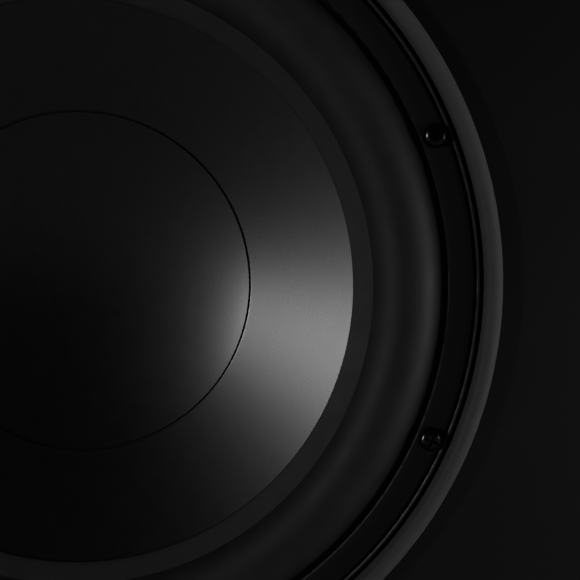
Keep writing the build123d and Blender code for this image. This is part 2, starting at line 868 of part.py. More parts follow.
# ---------------------------------------------------------------------------
# Driver: surround and spider
# ---------------------------------------------------------------------------

roll_crown_depth = roll_inner_root_depth - roll_height
roll_rise = (surround_front + roll_inner_root_depth) / 2 - roll_crown_depth
roll_radius = ((roll_width / 2) ** 2 + roll_rise**2) / (2 * roll_rise)
roll_centre_depth = roll_crown_depth + roll_radius
roll_inside = roll_radius - surround_thickness


def roll_half_width(radius, depth):
    """Half the width of a roll of this radius at a depth."""
    return sqrt(radius**2 - (depth - roll_centre_depth) ** 2)


inner_top = roll_middle - roll_half_width(roll_radius, roll_inner_root_depth)
outer_top = roll_middle + roll_half_width(roll_radius, surround_front)
lip_under_depth = roll_inner_root_depth + lip_wall_depth
inner_under = roll_middle - roll_half_width(roll_inside, lip_under_depth)
outer_under = roll_middle + roll_half_width(roll_inside, flange_front)
lip_slope = cone_slope + 4 * cone_bow / (cone_edge_radius - cone_step_radius)
lip_rise = lip_slope * (inner_top - surround_lip_radius)
under_rise = lip_slope * (inner_top - inner_under)

with BuildPart() as surround:
    with BuildSketch(driver_section):
        with BuildLine():
            Line((surround_lip_radius, roll_inner_root_depth + lip_rise), (inner_top, roll_inner_root_depth))
            ThreePointArc(
                (inner_top, roll_inner_root_depth),
                (roll_middle, roll_crown_depth),
                (outer_top, surround_front),
            )
            Polyline(
                (outer_top, surround_front),
                (clamp_ring_outer, surround_front),
                (clamp_ring_outer, flange_front),
                (outer_under, flange_front),
            )
            ThreePointArc(
                (outer_under, flange_front),
                (roll_middle, roll_crown_depth + surround_thickness),
                (inner_under, lip_under_depth + under_rise),
            )
            Polyline(
                (inner_under, lip_under_depth + under_rise),
                (surround_lip_radius, lip_under_depth + lip_rise),
                (surround_lip_radius, roll_inner_root_depth + lip_rise),
            )
        make_face()
    revolve(axis=driver_axis)
    with BuildSketch(facing(flange_front)):
        with screw_circle_places:
            Circle(screw_hole_radius)
    extrude(amount=surround_thickness, mode=Mode.SUBTRACT)
save(surround.part, "surround")

spider_inner = former_radius + glue_line
wave_start = spider_inner + spider_inner_flat
wave_end = spider_outer_radius - spider_outer_flat
half_wave = (wave_end - wave_start) / (2 * spider_waves)
spider_front = landing_depth - spider_thickness


def wave_arcs(depth, outwards):
    """One face of the spider's corrugations, as alternating arcs."""
    order = range(2 * spider_waves) if outwards else range(2 * spider_waves - 1, -1, -1)
    for index in order:
        near = wave_start + index * half_wave
        side = -1 if index % 2 else 1
        ends = [(near, depth), (near + half_wave, depth)]
        if not outwards:
            ends.reverse()
        middle = (near + half_wave / 2, depth - side * spider_wave_height)
        ThreePointArc(ends[0], middle, ends[1])


with BuildPart() as spider:
    with BuildSketch(driver_section):
        with BuildLine():
            Line((spider_inner, spider_front), (wave_start, spider_front))
            wave_arcs(spider_front, True)
            Polyline(
                (wave_end, spider_front),
                (spider_outer_radius, spider_front),
                (spider_outer_radius, landing_depth),
                (wave_end, landing_depth),
            )
            wave_arcs(landing_depth, False)
            Polyline(
                (wave_start, landing_depth),
                (spider_inner, landing_depth),
                (spider_inner, spider_front),
            )
        make_face()
    revolve(axis=driver_axis)
save(spider.part, "spider")

# ---------------------------------------------------------------------------
# Driver: terminals, tinsel leads and speaker wires
# ---------------------------------------------------------------------------

pad_start = landing_depth + leg_margin
pad_end = motor_depth - leg_margin
board_top = pad_top + board_thickness
strip_top = board_top + terminal_strip_thickness
strip_start = pad_start - strip_overhang
strip_end = pad_end + strip_overhang
lead_height = board_top + crimp_height / 2

with BuildPart() as terminal_board:
    with BuildSketch(facing(pad_end)):
        with Locations((0, pad_top + board_thickness / 2)):
            Rectangle(terminal_pad_width, board_thickness)
    extrude(amount=pad_end - pad_start)
save(terminal_board.part, "terminal_board")

with BuildPart() as terminal_lugs:
    with BuildSketch(facing(strip_end)):
        with Locations((0, board_top + terminal_strip_thickness / 2)):
            with GridLocations(terminal_spacing, 1, 2, 1):
                Rectangle(terminal_strip_width, terminal_strip_thickness)
    extrude(amount=strip_end - strip_start)
    for crimp_end in (strip_start, strip_end + crimp_length):
        with BuildSketch(facing(crimp_end)):
            with Locations((0, lead_height)):
                with GridLocations(terminal_spacing, 1, 2, 1):
                    Rectangle(crimp_width, crimp_height)
        extrude(amount=crimp_length)
save(terminal_lugs.part, "terminal_lugs")


def largest_arcs(points):
    """The largest tangent arc at each corner: 0.45 of the shorter run over tan(half the turn)."""
    radii = []
    for before, corner, after in zip(points, points[1:], points[2:]):
        run_in = Vector(*corner) - Vector(*before)
        run_out = Vector(*after) - Vector(*corner)
        half_turn = radians(run_in.get_angle(run_out)) / 2
        radii.append(0.45 * min(run_in.length, run_out.length) / tan(half_turn))
    return radii


def cord_tube(name, points, radius):
    """A round tube along straight runs joined by tangent arcs."""
    radii = largest_arcs(points)
    print(name, "arc radii", [round(r, 1) for r in radii])
    with BuildPart() as tube:
        with BuildLine() as route:
            FilletPolyline(*points, radius=radii)
        with BuildSketch(Plane(origin=route.line @ 0, z_dir=route.line % 0)):
            Circle(radius)
        sweep(path=route.line)
    save(tube.part, name)


# Each tinsel lead leaves the back of the cone square to its wall and loops to the board.
lead_x = terminal_spacing / 2
lead_root = 56.0
root_depth = cone_front(lead_root) + step_depth + cone_wall_depth + glue_line
crimp_front = strip_start - crimp_length
normal_out = sin(radians(cone_angle))
normal_back = cos(radians(cone_angle))
for name, side in (("tinsel_lead_left", -1), ("tinsel_lead_right", 1)):
    lead_points = [
        (side * lead_x, front_y + root_depth, axis_z + lead_root),
        (side * lead_x, front_y + root_depth + 8 * normal_back, axis_z + lead_root + 8 * normal_out),
        (side * (lead_x + 1.5), front_y + root_depth + 14, axis_z + lead_root + 11),
        (side * (lead_x + 3), front_y + root_depth + 16, axis_z + lead_root + 21),
        (side * (lead_x + 2), front_y + root_depth + 14, axis_z + lead_root + 30),
        (side * lead_x, front_y + crimp_front - 9, axis_z + lead_height),
        (side * lead_x, front_y + crimp_front, axis_z + lead_height),
    ]
    cord_tube(name, lead_points, lead_radius)

# The speaker wires run over the magnet, through the brace and into the amplifier.
crimp_back = strip_end + crimp_length
wire_entry_height = 52.0
wire_reach = main_board_start - crimp_back
for name, side in (("speaker_wire_red", 1), ("speaker_wire_black", -1)):
    wire_points = [
        (side * lead_x, front_y + crimp_back, axis_z + lead_height),
        (side * lead_x, front_y + crimp_back + 0.09 * wire_reach, axis_z + lead_height),
        (side * 13.5, front_y + crimp_back + 0.22 * wire_reach, axis_z + lead_height + 1),
        (side * 18, front_y + crimp_back + 0.365 * wire_reach, axis_z + 94),
        (side * 22, front_y + crimp_back + 0.525 * wire_reach, axis_z + 82),
        (side * 21, front_y + crimp_back + 0.675 * wire_reach, axis_z + 68),
        (side * 15, front_y + crimp_back + 0.81 * wire_reach, axis_z + 56),
        (side * lead_x, front_y + crimp_back + 0.915 * wire_reach, axis_z + wire_entry_height),
        (side * lead_x, front_y + main_board_start, axis_z + wire_entry_height),
    ]
    cord_tube(name, wire_points, wire_radius)

# ---------------------------------------------------------------------------
# Amplifier: gasket, plate, heat sink and screws
# ---------------------------------------------------------------------------

with BuildPart() as amp_gasket:
    with BuildSketch(facing(plate_inside)):
        RectangleRounded(plate_width, plate_height, plate_corner_radius)
        Rectangle(amp_cutout_width, amp_cutout_height, mode=Mode.SUBTRACT)
        with Locations(*amp_screw_places):
            Circle(amp_screw_radius + screw_clearance, mode=Mode.SUBTRACT)
    extrude(amount=amp_gasket_thickness)
save(amp_gasket.part, "amp_gasket")

slot_width = slider_length + slider_travel + 2 * slider_gap
slot_height = slider_width + 2 * slider_gap
with BuildPart() as amp_plate:
    with BuildSketch(facing(plate_outside)):
        RectangleRounded(plate_width, plate_height, plate_corner_radius)
        with Locations(*amp_screw_places):
            Circle(amp_screw_radius + screw_clearance, mode=Mode.SUBTRACT)
        with Locations((level_x, control_row), (crossover_x, control_row)):
            Circle(spindle_radius + screw_clearance, mode=Mode.SUBTRACT)
        with Locations((phase_x, control_row), (mode_x, control_row)):
            Rectangle(slot_width, slot_height, mode=Mode.SUBTRACT)
        with Locations((light_x, control_row)):
            Circle(light_radius + fit_gap, mode=Mode.SUBTRACT)
        with Locations(*[(x, socket_row) for x in phono_x]):
            Circle(phono_body_radius + fit_gap, mode=Mode.SUBTRACT)
        with Locations((speaker_socket_x, socket_row)):
            Circle(speaker_body_radius + fit_gap, mode=Mode.SUBTRACT)
        with Locations((mains_x, mains_row)):
            Rectangle(mains_body_width + 2 * fit_gap, mains_body_height + 2 * fit_gap, mode=Mode.SUBTRACT)
        with Locations((toroid_x, toroid_row)):
            Circle(toroid_bolt_radius + fit_gap, mode=Mode.SUBTRACT)
    extrude(amount=plate_thickness)
save(amp_plate.part, "amp_plate")

sink_start = plate_outside
sink_end = sink_start + sink_base + fin_height
fin_pitch = (sink_width - fin_thickness) / (fin_count - 1)
with BuildPart() as heat_sink:
    with BuildSketch(facing(sink_start + sink_base, 0, sink_centre)):
        Rectangle(sink_width, sink_height)
    extrude(amount=sink_base)
    with BuildSketch(facing(sink_end, 0, sink_centre)):
        with GridLocations(fin_pitch, 1, fin_count, 1):
            Rectangle(fin_thickness, sink_height)
    extrude(amount=fin_height)
save(heat_sink.part, "heat_sink")

with BuildPart() as amp_screws:
    head_end = plate_outside + amp_screw_head_height
    with BuildSketch(facing(head_end)):
        with Locations(*amp_screw_places):
            Circle(amp_screw_head_radius)
    extrude(amount=amp_screw_head_height)
    fillet(amp_screws.edges().group_by(Axis.Y)[-1], amp_screw_head_height * 0.7)
    shank_start = cabinet_depth - amp_screw_grip
    with BuildSketch(facing(plate_outside)):
        with Locations(*amp_screw_places):
            Circle(amp_screw_radius)
    extrude(amount=plate_outside - shank_start - fit_gap)
    with BuildSketch(facing(head_end)):
        with Locations(*amp_screw_places):
            Rectangle(amp_screw_head_radius, amp_screw_head_radius * 0.22)
            Rectangle(amp_screw_head_radius * 0.22, amp_screw_head_radius)
    extrude(amount=amp_screw_head_height * 0.6, mode=Mode.SUBTRACT)
save(amp_screws.part, "amp_screws")

# ---------------------------------------------------------------------------
# Amplifier: inner box, boards and what stands on them
# ---------------------------------------------------------------------------

pillar_x = main_board_half_width - amp_pillar_inset
pillar_rows = (main_board_low + amp_pillar_inset, main_board_high - amp_pillar_inset)
with BuildPart() as amp_box:
    with BuildSketch(facing(plate_inside)):
        Rectangle(amp_box_width, amp_box_height)
    extrude(amount=amp_box_depth)
    with BuildSketch(facing(plate_inside)):
        Rectangle(amp_box_width - 2 * amp_box_wall, amp_box_height - 2 * amp_box_wall)
    extrude(amount=amp_box_depth - amp_box_wall, mode=Mode.SUBTRACT)
    with BuildSketch(facing(main_board_start)):
        with Locations(*[(side * pillar_x, row) for side in (-1, 1) for row in pillar_rows]):
            Circle(amp_pillar_radius)
    extrude(amount=amp_pillar_height)
    with BuildSketch(facing(amp_box_start + amp_box_wall)):
        with Locations((-lead_x, wire_entry_height), (lead_x, wire_entry_height)):
            Circle(wire_radius + screw_clearance)
    extrude(amount=amp_box_wall, mode=Mode.SUBTRACT)
save(amp_box.part, "amp_box")

with BuildPart() as main_board:
    board_height = main_board_high - main_board_low
    board_row = (main_board_high + main_board_low) / 2
    with BuildSketch(facing(main_board_start + board_thickness, 0, board_row)):
        Rectangle(2 * main_board_half_width, board_height)
    extrude(amount=board_thickness)
save(main_board.part, "main_board")

components_start = main_board_start + board_thickness
with BuildPart() as capacitors:
    with BuildSketch(facing(components_start + capacitor_height, 0, capacitor_row)):
        with GridLocations(capacitor_pitch, 1, capacitor_count, 1):
            Circle(capacitor_radius)
    extrude(amount=capacitor_height)
    fillet(capacitors.edges().group_by(Axis.Y)[-1], 1.2)
save(capacitors.part, "capacitors")

with BuildPart() as power_transistors:
    leg_row = transistor_row - transistor_height / 2 - transistor_leg_drop
    leg_depth = plate_inside - transistor_thickness / 2
    with BuildSketch(facing(plate_inside, 0, transistor_row)):
        with GridLocations(transistor_pitch, 1, transistor_count, 1):
            Rectangle(transistor_width, transistor_height)
    extrude(amount=transistor_thickness)
    with BuildSketch(facing(leg_depth + transistor_leg / 2)):
        for leg in (-1, 0, 1):
            with Locations((leg * transistor_leg_spacing, leg_row + transistor_leg_drop / 2)):
                with GridLocations(transistor_pitch, 1, transistor_count, 1):
                    Rectangle(transistor_leg, transistor_leg_drop + transistor_leg)
    extrude(amount=transistor_leg)
    with BuildSketch(facing(leg_depth + transistor_leg / 2)):
        for leg in (-1, 0, 1):
            with Locations((leg * transistor_leg_spacing, leg_row)):
                with GridLocations(transistor_pitch, 1, transistor_count, 1):
                    Rectangle(transistor_leg, transistor_leg)
    extrude(amount=leg_depth + transistor_leg / 2 - components_start)
save(power_transistors.part, "power_transistors")

with BuildPart() as toroid:
    with BuildSketch(turned(toroid_x, toroid_row)) as winding:
        with Locations(((toroid_radius + toroid_bore_radius) / 2, plate_inside - toroid_height / 2)):
            RectangleRounded(toroid_radius - toroid_bore_radius, toroid_height, toroid_round)
    revolve(axis=turning_axis(toroid_x, toroid_row))
save(toroid.part, "toroid")

toroid_front = plate_inside - toroid_height
washer_start = toroid_front - toroid_washer_thickness
with BuildPart() as toroid_clamp:
    with BuildSketch(facing(toroid_front, toroid_x, toroid_row)):
        Circle(toroid_washer_radius)
        Circle(toroid_bolt_radius + fit_gap, mode=Mode.SUBTRACT)
    extrude(amount=toroid_washer_thickness)
    with BuildSketch(facing(washer_start, toroid_x, toroid_row)):
        RegularPolygon(toroid_bolt_head_radius, 6)
    extrude(amount=toroid_nut_height)
    with BuildSketch(facing(plate_outside, toroid_x, toroid_row)):
        Circle(toroid_bolt_radius)
    extrude(amount=plate_outside - washer_start)
    with BuildSketch(facing(plate_outside + toroid_bolt_head_height, toroid_x, toroid_row)):
        Circle(toroid_bolt_head_radius)
    extrude(amount=toroid_bolt_head_height)
    fillet(toroid_clamp.faces().sort_by(Axis.Y)[-1].edges(), toroid_bolt_head_height * 0.6)
    with BuildSketch(facing(plate_outside + toroid_bolt_head_height, toroid_x, toroid_row)):
        RegularPolygon(toroid_bolt_radius * 0.75, 6)
    extrude(amount=toroid_bolt_head_height * 0.6, mode=Mode.SUBTRACT)
save(toroid_clamp.part, "toroid_clamp")

control_board_low = socket_row - speaker_body_radius - 2
control_board_high = control_row + pot_size / 2 + 5
control_board_left = phono_x[0] - 6
control_board_right = light_x + 14
with BuildPart() as control_board:
    with BuildSketch(facing(control_board_start + board_thickness)):
        with Locations(
            (
                (control_board_left + control_board_right) / 2,
                (control_board_low + control_board_high) / 2,
            )
        ):
            Rectangle(control_board_right - control_board_left, control_board_high - control_board_low)
    extrude(amount=board_thickness)
save(control_board.part, "control_board")

# ---------------------------------------------------------------------------
# Controls: knobs with moulded spindles, slide switches and the status light
# ---------------------------------------------------------------------------

behind_start = plate_inside - behind_plate
spindle_start = plate_inside - spindle_length
with BuildPart() as control_pots:
    with BuildSketch(facing(plate_inside)):
        with Locations((level_x, control_row), (crossover_x, control_row)):
            Rectangle(pot_size, pot_size)
    extrude(amount=behind_plate)
    with BuildSketch(facing(plate_inside)):
        with Locations((level_x, control_row), (crossover_x, control_row)):
            Circle(spindle_radius + spindle_gap)
    extrude(amount=spindle_length + spindle_gap, mode=Mode.SUBTRACT)
save(control_pots.part, "control_pots")

knob_start = plate_outside + knob_gap
knob_end = knob_start + knob_height
for name, knob_x in (("level_knob", level_x), ("crossover_knob", crossover_x)):
    with BuildPart() as knob:
        with BuildSketch(facing(knob_end, knob_x, control_row)):
            Circle(knob_radius)
            with PolarLocations(knob_radius, knob_flutes):
                Circle(knob_flute_radius, mode=Mode.SUBTRACT)
        extrude(amount=knob_height)
        chamfer(knob.faces().sort_by(Axis.Y)[-1].edges(), 0.4)
        with BuildSketch(facing(knob_start, knob_x, control_row)):
            Circle(spindle_radius)
        extrude(amount=knob_start - spindle_start)
        with BuildSketch(facing(knob_end, knob_x, control_row)):
            with Locations((0, knob_radius * 0.55)):
                SlotCenterToCenter(knob_radius * 0.45, 1.2, rotation=90)
        extrude(amount=0.5, mode=Mode.SUBTRACT)
    save(knob.part, name)

pocket_depth = slider_depth + slider_gap
with BuildPart() as switch_bodies:
    with BuildSketch(facing(plate_inside)):
        with Locations((phase_x, control_row), (mode_x, control_row)):
            Rectangle(pot_size + slider_length, pot_size / 2)
    extrude(amount=behind_plate)
    with BuildSketch(facing(plate_inside)):
        with Locations((phase_x, control_row), (mode_x, control_row)):
            Rectangle(slot_width, slot_height)
    extrude(amount=pocket_depth, mode=Mode.SUBTRACT)
save(switch_bodies.part, "switch_bodies")

# Each slider rests at the low end of its slot and travels towards +X.
for name, switch_x in (("phase_slider", phase_x), ("mode_slider", mode_x)):
    with BuildPart() as slider:
        with BuildSketch(facing(plate_outside + slider_proud, switch_x - slider_travel / 2, control_row)):
            Rectangle(slider_length, slider_width)
        extrude(amount=slider_proud + plate_thickness + slider_depth)
        for groove in (-1, 0, 1):
            groove_x = switch_x - slider_travel / 2 + groove * slider_length * 0.28
            with BuildSketch(facing(plate_outside + slider_proud, groove_x, control_row)):
                Rectangle(slider_length * 0.12, slider_width)
            extrude(amount=slider_proud * 0.3, mode=Mode.SUBTRACT)
    save(slider.part, name)

with BuildPart() as status_light:
    with BuildSketch(facing(plate_outside + light_proud, light_x, control_row)):
        Circle(light_radius)
    extrude(amount=light_proud + plate_thickness + behind_plate)
    fillet(status_light.faces().sort_by(Axis.Y)[-1].edges(), light_proud * 0.9)
save(status_light.part, "status_light")

# ---------------------------------------------------------------------------
# Sockets
# ---------------------------------------------------------------------------

phono_places = [(x, socket_row) for x in phono_x]
shell_start = plate_outside + phono_flange_height
shell_end = shell_start + phono_shell_length
shell_bore = phono_shell_radius - phono_shell_wall
with BuildPart() as phono_inserts:
    with BuildSketch(facing(plate_outside)):
        with Locations(*phono_places):
            Circle(phono_body_radius)
    extrude(amount=plate_thickness + behind_plate)
    with BuildSketch(facing(shell_start)):
        with Locations(*phono_places):
            Circle(phono_flange_radius)
    extrude(amount=phono_flange_height)
    with BuildSketch(facing(shell_end - phono_shell_wall)):
        with Locations(*phono_places):
            Circle(shell_bore)
    extrude(amount=phono_shell_length - phono_shell_wall)
    with BuildSketch(facing(shell_end)):
        with Locations(*phono_places):
            Circle(phono_pin_radius)
    extrude(amount=phono_shell_length + phono_flange_height, mode=Mode.SUBTRACT)
save(phono_inserts.part, "phono_inserts")

with BuildPart() as phono_shells:
    with BuildSketch(facing(shell_end)):
        with Locations(*phono_places):
            Circle(phono_shell_radius)
            Circle(shell_bore + fit_gap, mode=Mode.SUBTRACT)
    extrude(amount=phono_shell_length)
save(phono_shells.part, "phono_shells")

with BuildPart() as speaker_input:
    hollow_mouth = plate_outside + speaker_flange_thickness
    with BuildSketch(facing(plate_outside, speaker_socket_x, socket_row)):
        Circle(speaker_body_radius)
    extrude(amount=plate_thickness + behind_plate)
    with BuildSketch(facing(hollow_mouth, speaker_socket_x, socket_row)):
        RectangleRounded(speaker_flange_width, speaker_flange_height, 3)
    extrude(amount=speaker_flange_thickness)
    with BuildSketch(facing(hollow_mouth, speaker_socket_x, socket_row)):
        Circle(speaker_hollow_radius)
        Circle(speaker_post_radius, mode=Mode.SUBTRACT)
    extrude(amount=speaker_hollow_depth, mode=Mode.SUBTRACT)
save(speaker_input.part, "speaker_input")

# ---------------------------------------------------------------------------
# Mains module: rocker switch, inlet and fuse drawer
# ---------------------------------------------------------------------------

mains_face = plate_outside + mains_flange_thickness
rocker_height = mains_row + rocker_row
drawer_place = mains_row + drawer_row
with BuildPart() as mains_module:
    with BuildSketch(facing(mains_face, mains_x, mains_row)):
        RectangleRounded(mains_flange_width, mains_flange_height, 3)
    extrude(amount=mains_flange_thickness)
    with BuildSketch(facing(plate_outside, mains_x, mains_row)):
        Rectangle(mains_body_width, mains_body_height)
    extrude(amount=mains_body_depth)
    with BuildSketch(facing(mains_face, mains_x, rocker_height)):
        Rectangle(rocker_opening_width, rocker_opening_height)
    extrude(amount=rocker_pocket_depth, mode=Mode.SUBTRACT)
    with BuildSketch(facing(mains_face, mains_x, mains_row)) as inlet_mouth:
        Rectangle(inlet_width, inlet_height)
        chamfer(inlet_mouth.vertices().group_by(Axis.Y)[-1], inlet_chamfer)
    extrude(amount=inlet_depth, mode=Mode.SUBTRACT)
    with BuildSketch(facing(mains_face, mains_x, drawer_place)):
        Rectangle(drawer_width + 2 * drawer_gap, drawer_height + 2 * drawer_gap)
    extrude(amount=drawer_depth + drawer_gap, mode=Mode.SUBTRACT)
save(mains_module.part, "mains_module")

with BuildPart() as inlet_pins:
    pin_base = mains_face - inlet_depth
    pin_places = [(-inlet_pin_spacing / 2, -1.5), (0, 2.5), (inlet_pin_spacing / 2, -1.5)]
    with BuildSketch(facing(pin_base + inlet_pin_length, mains_x, mains_row)):
        with Locations(*pin_places):
            Rectangle(inlet_pin_width, inlet_pin_height)
    extrude(amount=inlet_pin_length)
save(inlet_pins.part, "inlet_pins")

# The rocker rests with one end pressed in, and swings about a vertical pin line.
pivot_depth = mains_face - rocker_pivot_depth
rest_tilt = radians(rocker_tilt)
rocker_section = Plane(
    origin=(mains_x, front_y + pivot_depth, axis_z + rocker_height),
    x_dir=(cos(rest_tilt), sin(rest_tilt), 0),
    z_dir=(0, 0, 1),
)
rocker_thickness = rocker_opening_height - 2 * rocker_side_gap
with BuildPart() as power_rocker:
    with BuildSketch(rocker_section.offset(-rocker_thickness / 2)):
        with BuildLine():
            Polyline(
                (-rocker_width / 2, -rocker_body_depth),
                (-rocker_width / 2, rocker_pivot_depth + 2.2),
                (0, rocker_pivot_depth + 0.4),
                (rocker_width / 2, rocker_pivot_depth + 2.2),
                (rocker_width / 2, -rocker_body_depth),
                close=True,
            )
        make_face()
    extrude(amount=rocker_thickness)
save(power_rocker.part, "power_rocker")

drawer_back = mains_face - drawer_depth
fuse_bay_depth = 2 * fuse_radius + 2 * drawer_gap
fuse_bay_start = drawer_back + drawer_wall
with BuildPart() as fuse_drawer:
    with BuildSketch(facing(mains_face, mains_x, drawer_place)):
        Rectangle(drawer_width, drawer_height)
    extrude(amount=drawer_depth)
    with BuildSketch(facing(mains_face + drawer_lip_thickness, mains_x, drawer_place)):
        RectangleRounded(drawer_lip_width, drawer_lip_height, 1.5)
    extrude(amount=drawer_lip_thickness)
    # The bay for the fuse is open at the top.
    bay_row = drawer_place + drawer_wall
    with BuildSketch(facing(fuse_bay_start + fuse_bay_depth, mains_x, bay_row)):
        Rectangle(fuse_length + 2 * drawer_gap, drawer_height)
    extrude(amount=fuse_bay_depth, mode=Mode.SUBTRACT)
save(fuse_drawer.part, "fuse_drawer")

fuse_height = drawer_place - drawer_height / 2 + drawer_wall + fuse_radius + 2 * fit_gap
fuse_depth = fuse_bay_start + fuse_bay_depth / 2
with BuildPart() as fuse:
    fuse_end = Plane(
        origin=(mains_x - fuse_length / 2, front_y + fuse_depth, axis_z + fuse_height), z_dir=(1, 0, 0)
    )
    with BuildSketch(fuse_end):
        Circle(fuse_radius)
    extrude(amount=fuse_length)
save(fuse.part, "fuse")

print("box", cabinet_width, total_depth, foot_height + cabinet_height, "front y", front_y)
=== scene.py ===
import math

import bmesh
import bpy
import numpy as np
from mathutils import Matrix, Vector
from mathutils import noise


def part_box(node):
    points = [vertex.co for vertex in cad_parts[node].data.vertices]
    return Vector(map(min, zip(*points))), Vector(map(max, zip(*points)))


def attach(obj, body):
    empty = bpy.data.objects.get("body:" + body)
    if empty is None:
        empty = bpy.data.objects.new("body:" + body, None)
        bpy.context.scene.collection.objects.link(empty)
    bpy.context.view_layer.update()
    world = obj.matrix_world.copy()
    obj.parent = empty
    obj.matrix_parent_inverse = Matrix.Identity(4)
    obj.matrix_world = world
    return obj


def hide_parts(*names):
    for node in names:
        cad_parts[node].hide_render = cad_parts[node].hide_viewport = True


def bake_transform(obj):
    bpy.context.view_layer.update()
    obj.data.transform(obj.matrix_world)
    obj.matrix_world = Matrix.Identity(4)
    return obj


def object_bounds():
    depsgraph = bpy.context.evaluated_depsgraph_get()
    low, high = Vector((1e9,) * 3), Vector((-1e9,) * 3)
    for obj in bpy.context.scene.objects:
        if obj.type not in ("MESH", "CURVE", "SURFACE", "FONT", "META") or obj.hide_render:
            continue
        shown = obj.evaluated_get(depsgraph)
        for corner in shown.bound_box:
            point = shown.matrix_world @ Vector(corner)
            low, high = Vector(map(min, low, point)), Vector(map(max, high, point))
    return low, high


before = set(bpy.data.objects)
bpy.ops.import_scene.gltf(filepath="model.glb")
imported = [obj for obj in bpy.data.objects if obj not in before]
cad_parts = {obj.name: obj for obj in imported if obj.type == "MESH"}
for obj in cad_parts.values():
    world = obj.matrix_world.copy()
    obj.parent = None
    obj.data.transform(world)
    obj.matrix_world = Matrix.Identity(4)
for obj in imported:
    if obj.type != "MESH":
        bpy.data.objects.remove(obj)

cad_low, cad_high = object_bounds()

# --------------------------------------
# Camera. It stands close to the driver, a little to the right of its axis and
# slightly above it, and looks straight into the baffle with a small tilt down.
# --------------------------------------

ring_low, ring_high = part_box("trim_ring")
baffle_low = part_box("front_baffle")[0]
axis_x = (ring_low.x + ring_high.x) / 2
axis_z = (ring_low.z + ring_high.z) / 2
front_y = baffle_low.y

camera_data = bpy.data.cameras.new("camera")
camera_data.lens = 62.07
camera_data.sensor_width = 36.0
camera_data.clip_start = 0.01
camera = bpy.data.objects.new("camera", camera_data)
bpy.context.collection.objects.link(camera)
camera.location = (axis_x + 0.0844, front_y - 0.3665, axis_z + 0.0381)
camera.rotation_euler = (math.radians(84.03), 0, math.radians(0.28))
bpy.context.scene.camera = camera
bpy.context.scene.view_settings.view_transform = "Standard"

# --------------------------------------
# Studio. A tall strip light stands low at the front left and puts the sheen on
# the cone, a softbox far round at the right rakes the rings, and a small lamp
# makes the screws glint. Softer boxes light the other sides above a grey floor.
# --------------------------------------


def linear(colour, alpha=1.0):
    """Turn an sRGB hex colour into linear values."""
    parts = [int(colour[place:place + 2], 16) / 255 for place in (0, 2, 4)]
    return [c / 12.92 if c <= 0.04045 else ((c + 0.055) / 1.055) ** 2.4 for c in parts] + [alpha]


def softbox(name, place, aim, width, height, glow):
    """A rectangular light; glow is its brightness per square metre of its face."""
    lamp = bpy.data.lights.new(name, "AREA")
    lamp.shape = "RECTANGLE"
    lamp.size = width
    lamp.size_y = height
    lamp.energy = glow * math.pi * width * height
    holder = bpy.data.objects.new(name, lamp)
    bpy.context.collection.objects.link(holder)
    holder.location = place
    holder.rotation_euler = (Vector(aim) - Vector(place)).to_track_quat("-Z", "Y").to_euler()
    holder.visible_camera = False
    return holder


def around(turn, rise, reach):
    """A place this far from the driver: degrees to the right of straight ahead, then degrees up."""
    turn, rise = math.radians(turn), math.radians(rise)
    return driver_middle + reach * Vector(
        (math.sin(turn) * math.cos(rise), -math.cos(turn) * math.cos(rise), math.sin(rise))
    )


driver_middle = Vector((axis_x, front_y, axis_z))
softbox("key_strip_light", around(-52.3, 3.0, 2.92), driver_middle, 0.174, 0.72, 54.0)
softbox("side_softbox", around(75, -20, 1.4), driver_middle, 0.6, 0.9, 21.5)
softbox("small_lamp", around(50, 0, 1.4), driver_middle, 0.04, 0.04, 110.0)
softbox("top_softbox", (0.0, 0.65, 1.75), (0.0, 0.2, 0.3), 1.6, 1.0, 0.8)
softbox("rear_left_softbox", (-1.25, 1.35, 0.8), (0.0, 0.2, 0.2), 0.9, 1.1, 5.0)
softbox("rear_right_softbox", (1.35, 1.05, 0.7), (0.1, 0.2, 0.2), 0.8, 1.1, 3.5)

world = bpy.data.worlds.new("studio_air")
world.use_nodes = True
world.node_tree.nodes["Background"].inputs["Color"].default_value = linear("d8dade")
world.node_tree.nodes["Background"].inputs["Strength"].default_value = 0.008
bpy.context.scene.world = world


def add(tree, kind, inputs=None, **settings):
    """Add a node, set its values and link its inputs."""
    node = tree.nodes.new(kind)
    for name, value in settings.items():
        setattr(node, name, value)
    for socket, value in (inputs or {}).items():
        if isinstance(value, bpy.types.NodeSocket):
            tree.links.new(value, node.inputs[socket])
        else:
            node.inputs[socket].default_value = value
    return node


def material(name, colour, **values):
    """Start a material: its name, its base colour and values for its shader's own sockets."""
    made = bpy.data.materials.new(name)
    made.use_nodes = True
    made.diffuse_color = linear(colour)
    shader = made.node_tree.nodes["Principled BSDF"]
    shader.inputs["Base Color"].default_value = linear(colour)
    for socket, value in values.items():
        shader.inputs[socket.replace("_", " ")].default_value = value
    return made


def per_metre(millimetres):
    """A texture's scale for features of this size."""
    return 1000.0 / millimetres


def wave_scale(millimetres):
    """A wave texture's scale for bands this far apart; its own period is pi / 10 over the scale."""
    return per_metre(millimetres) * math.pi / 10


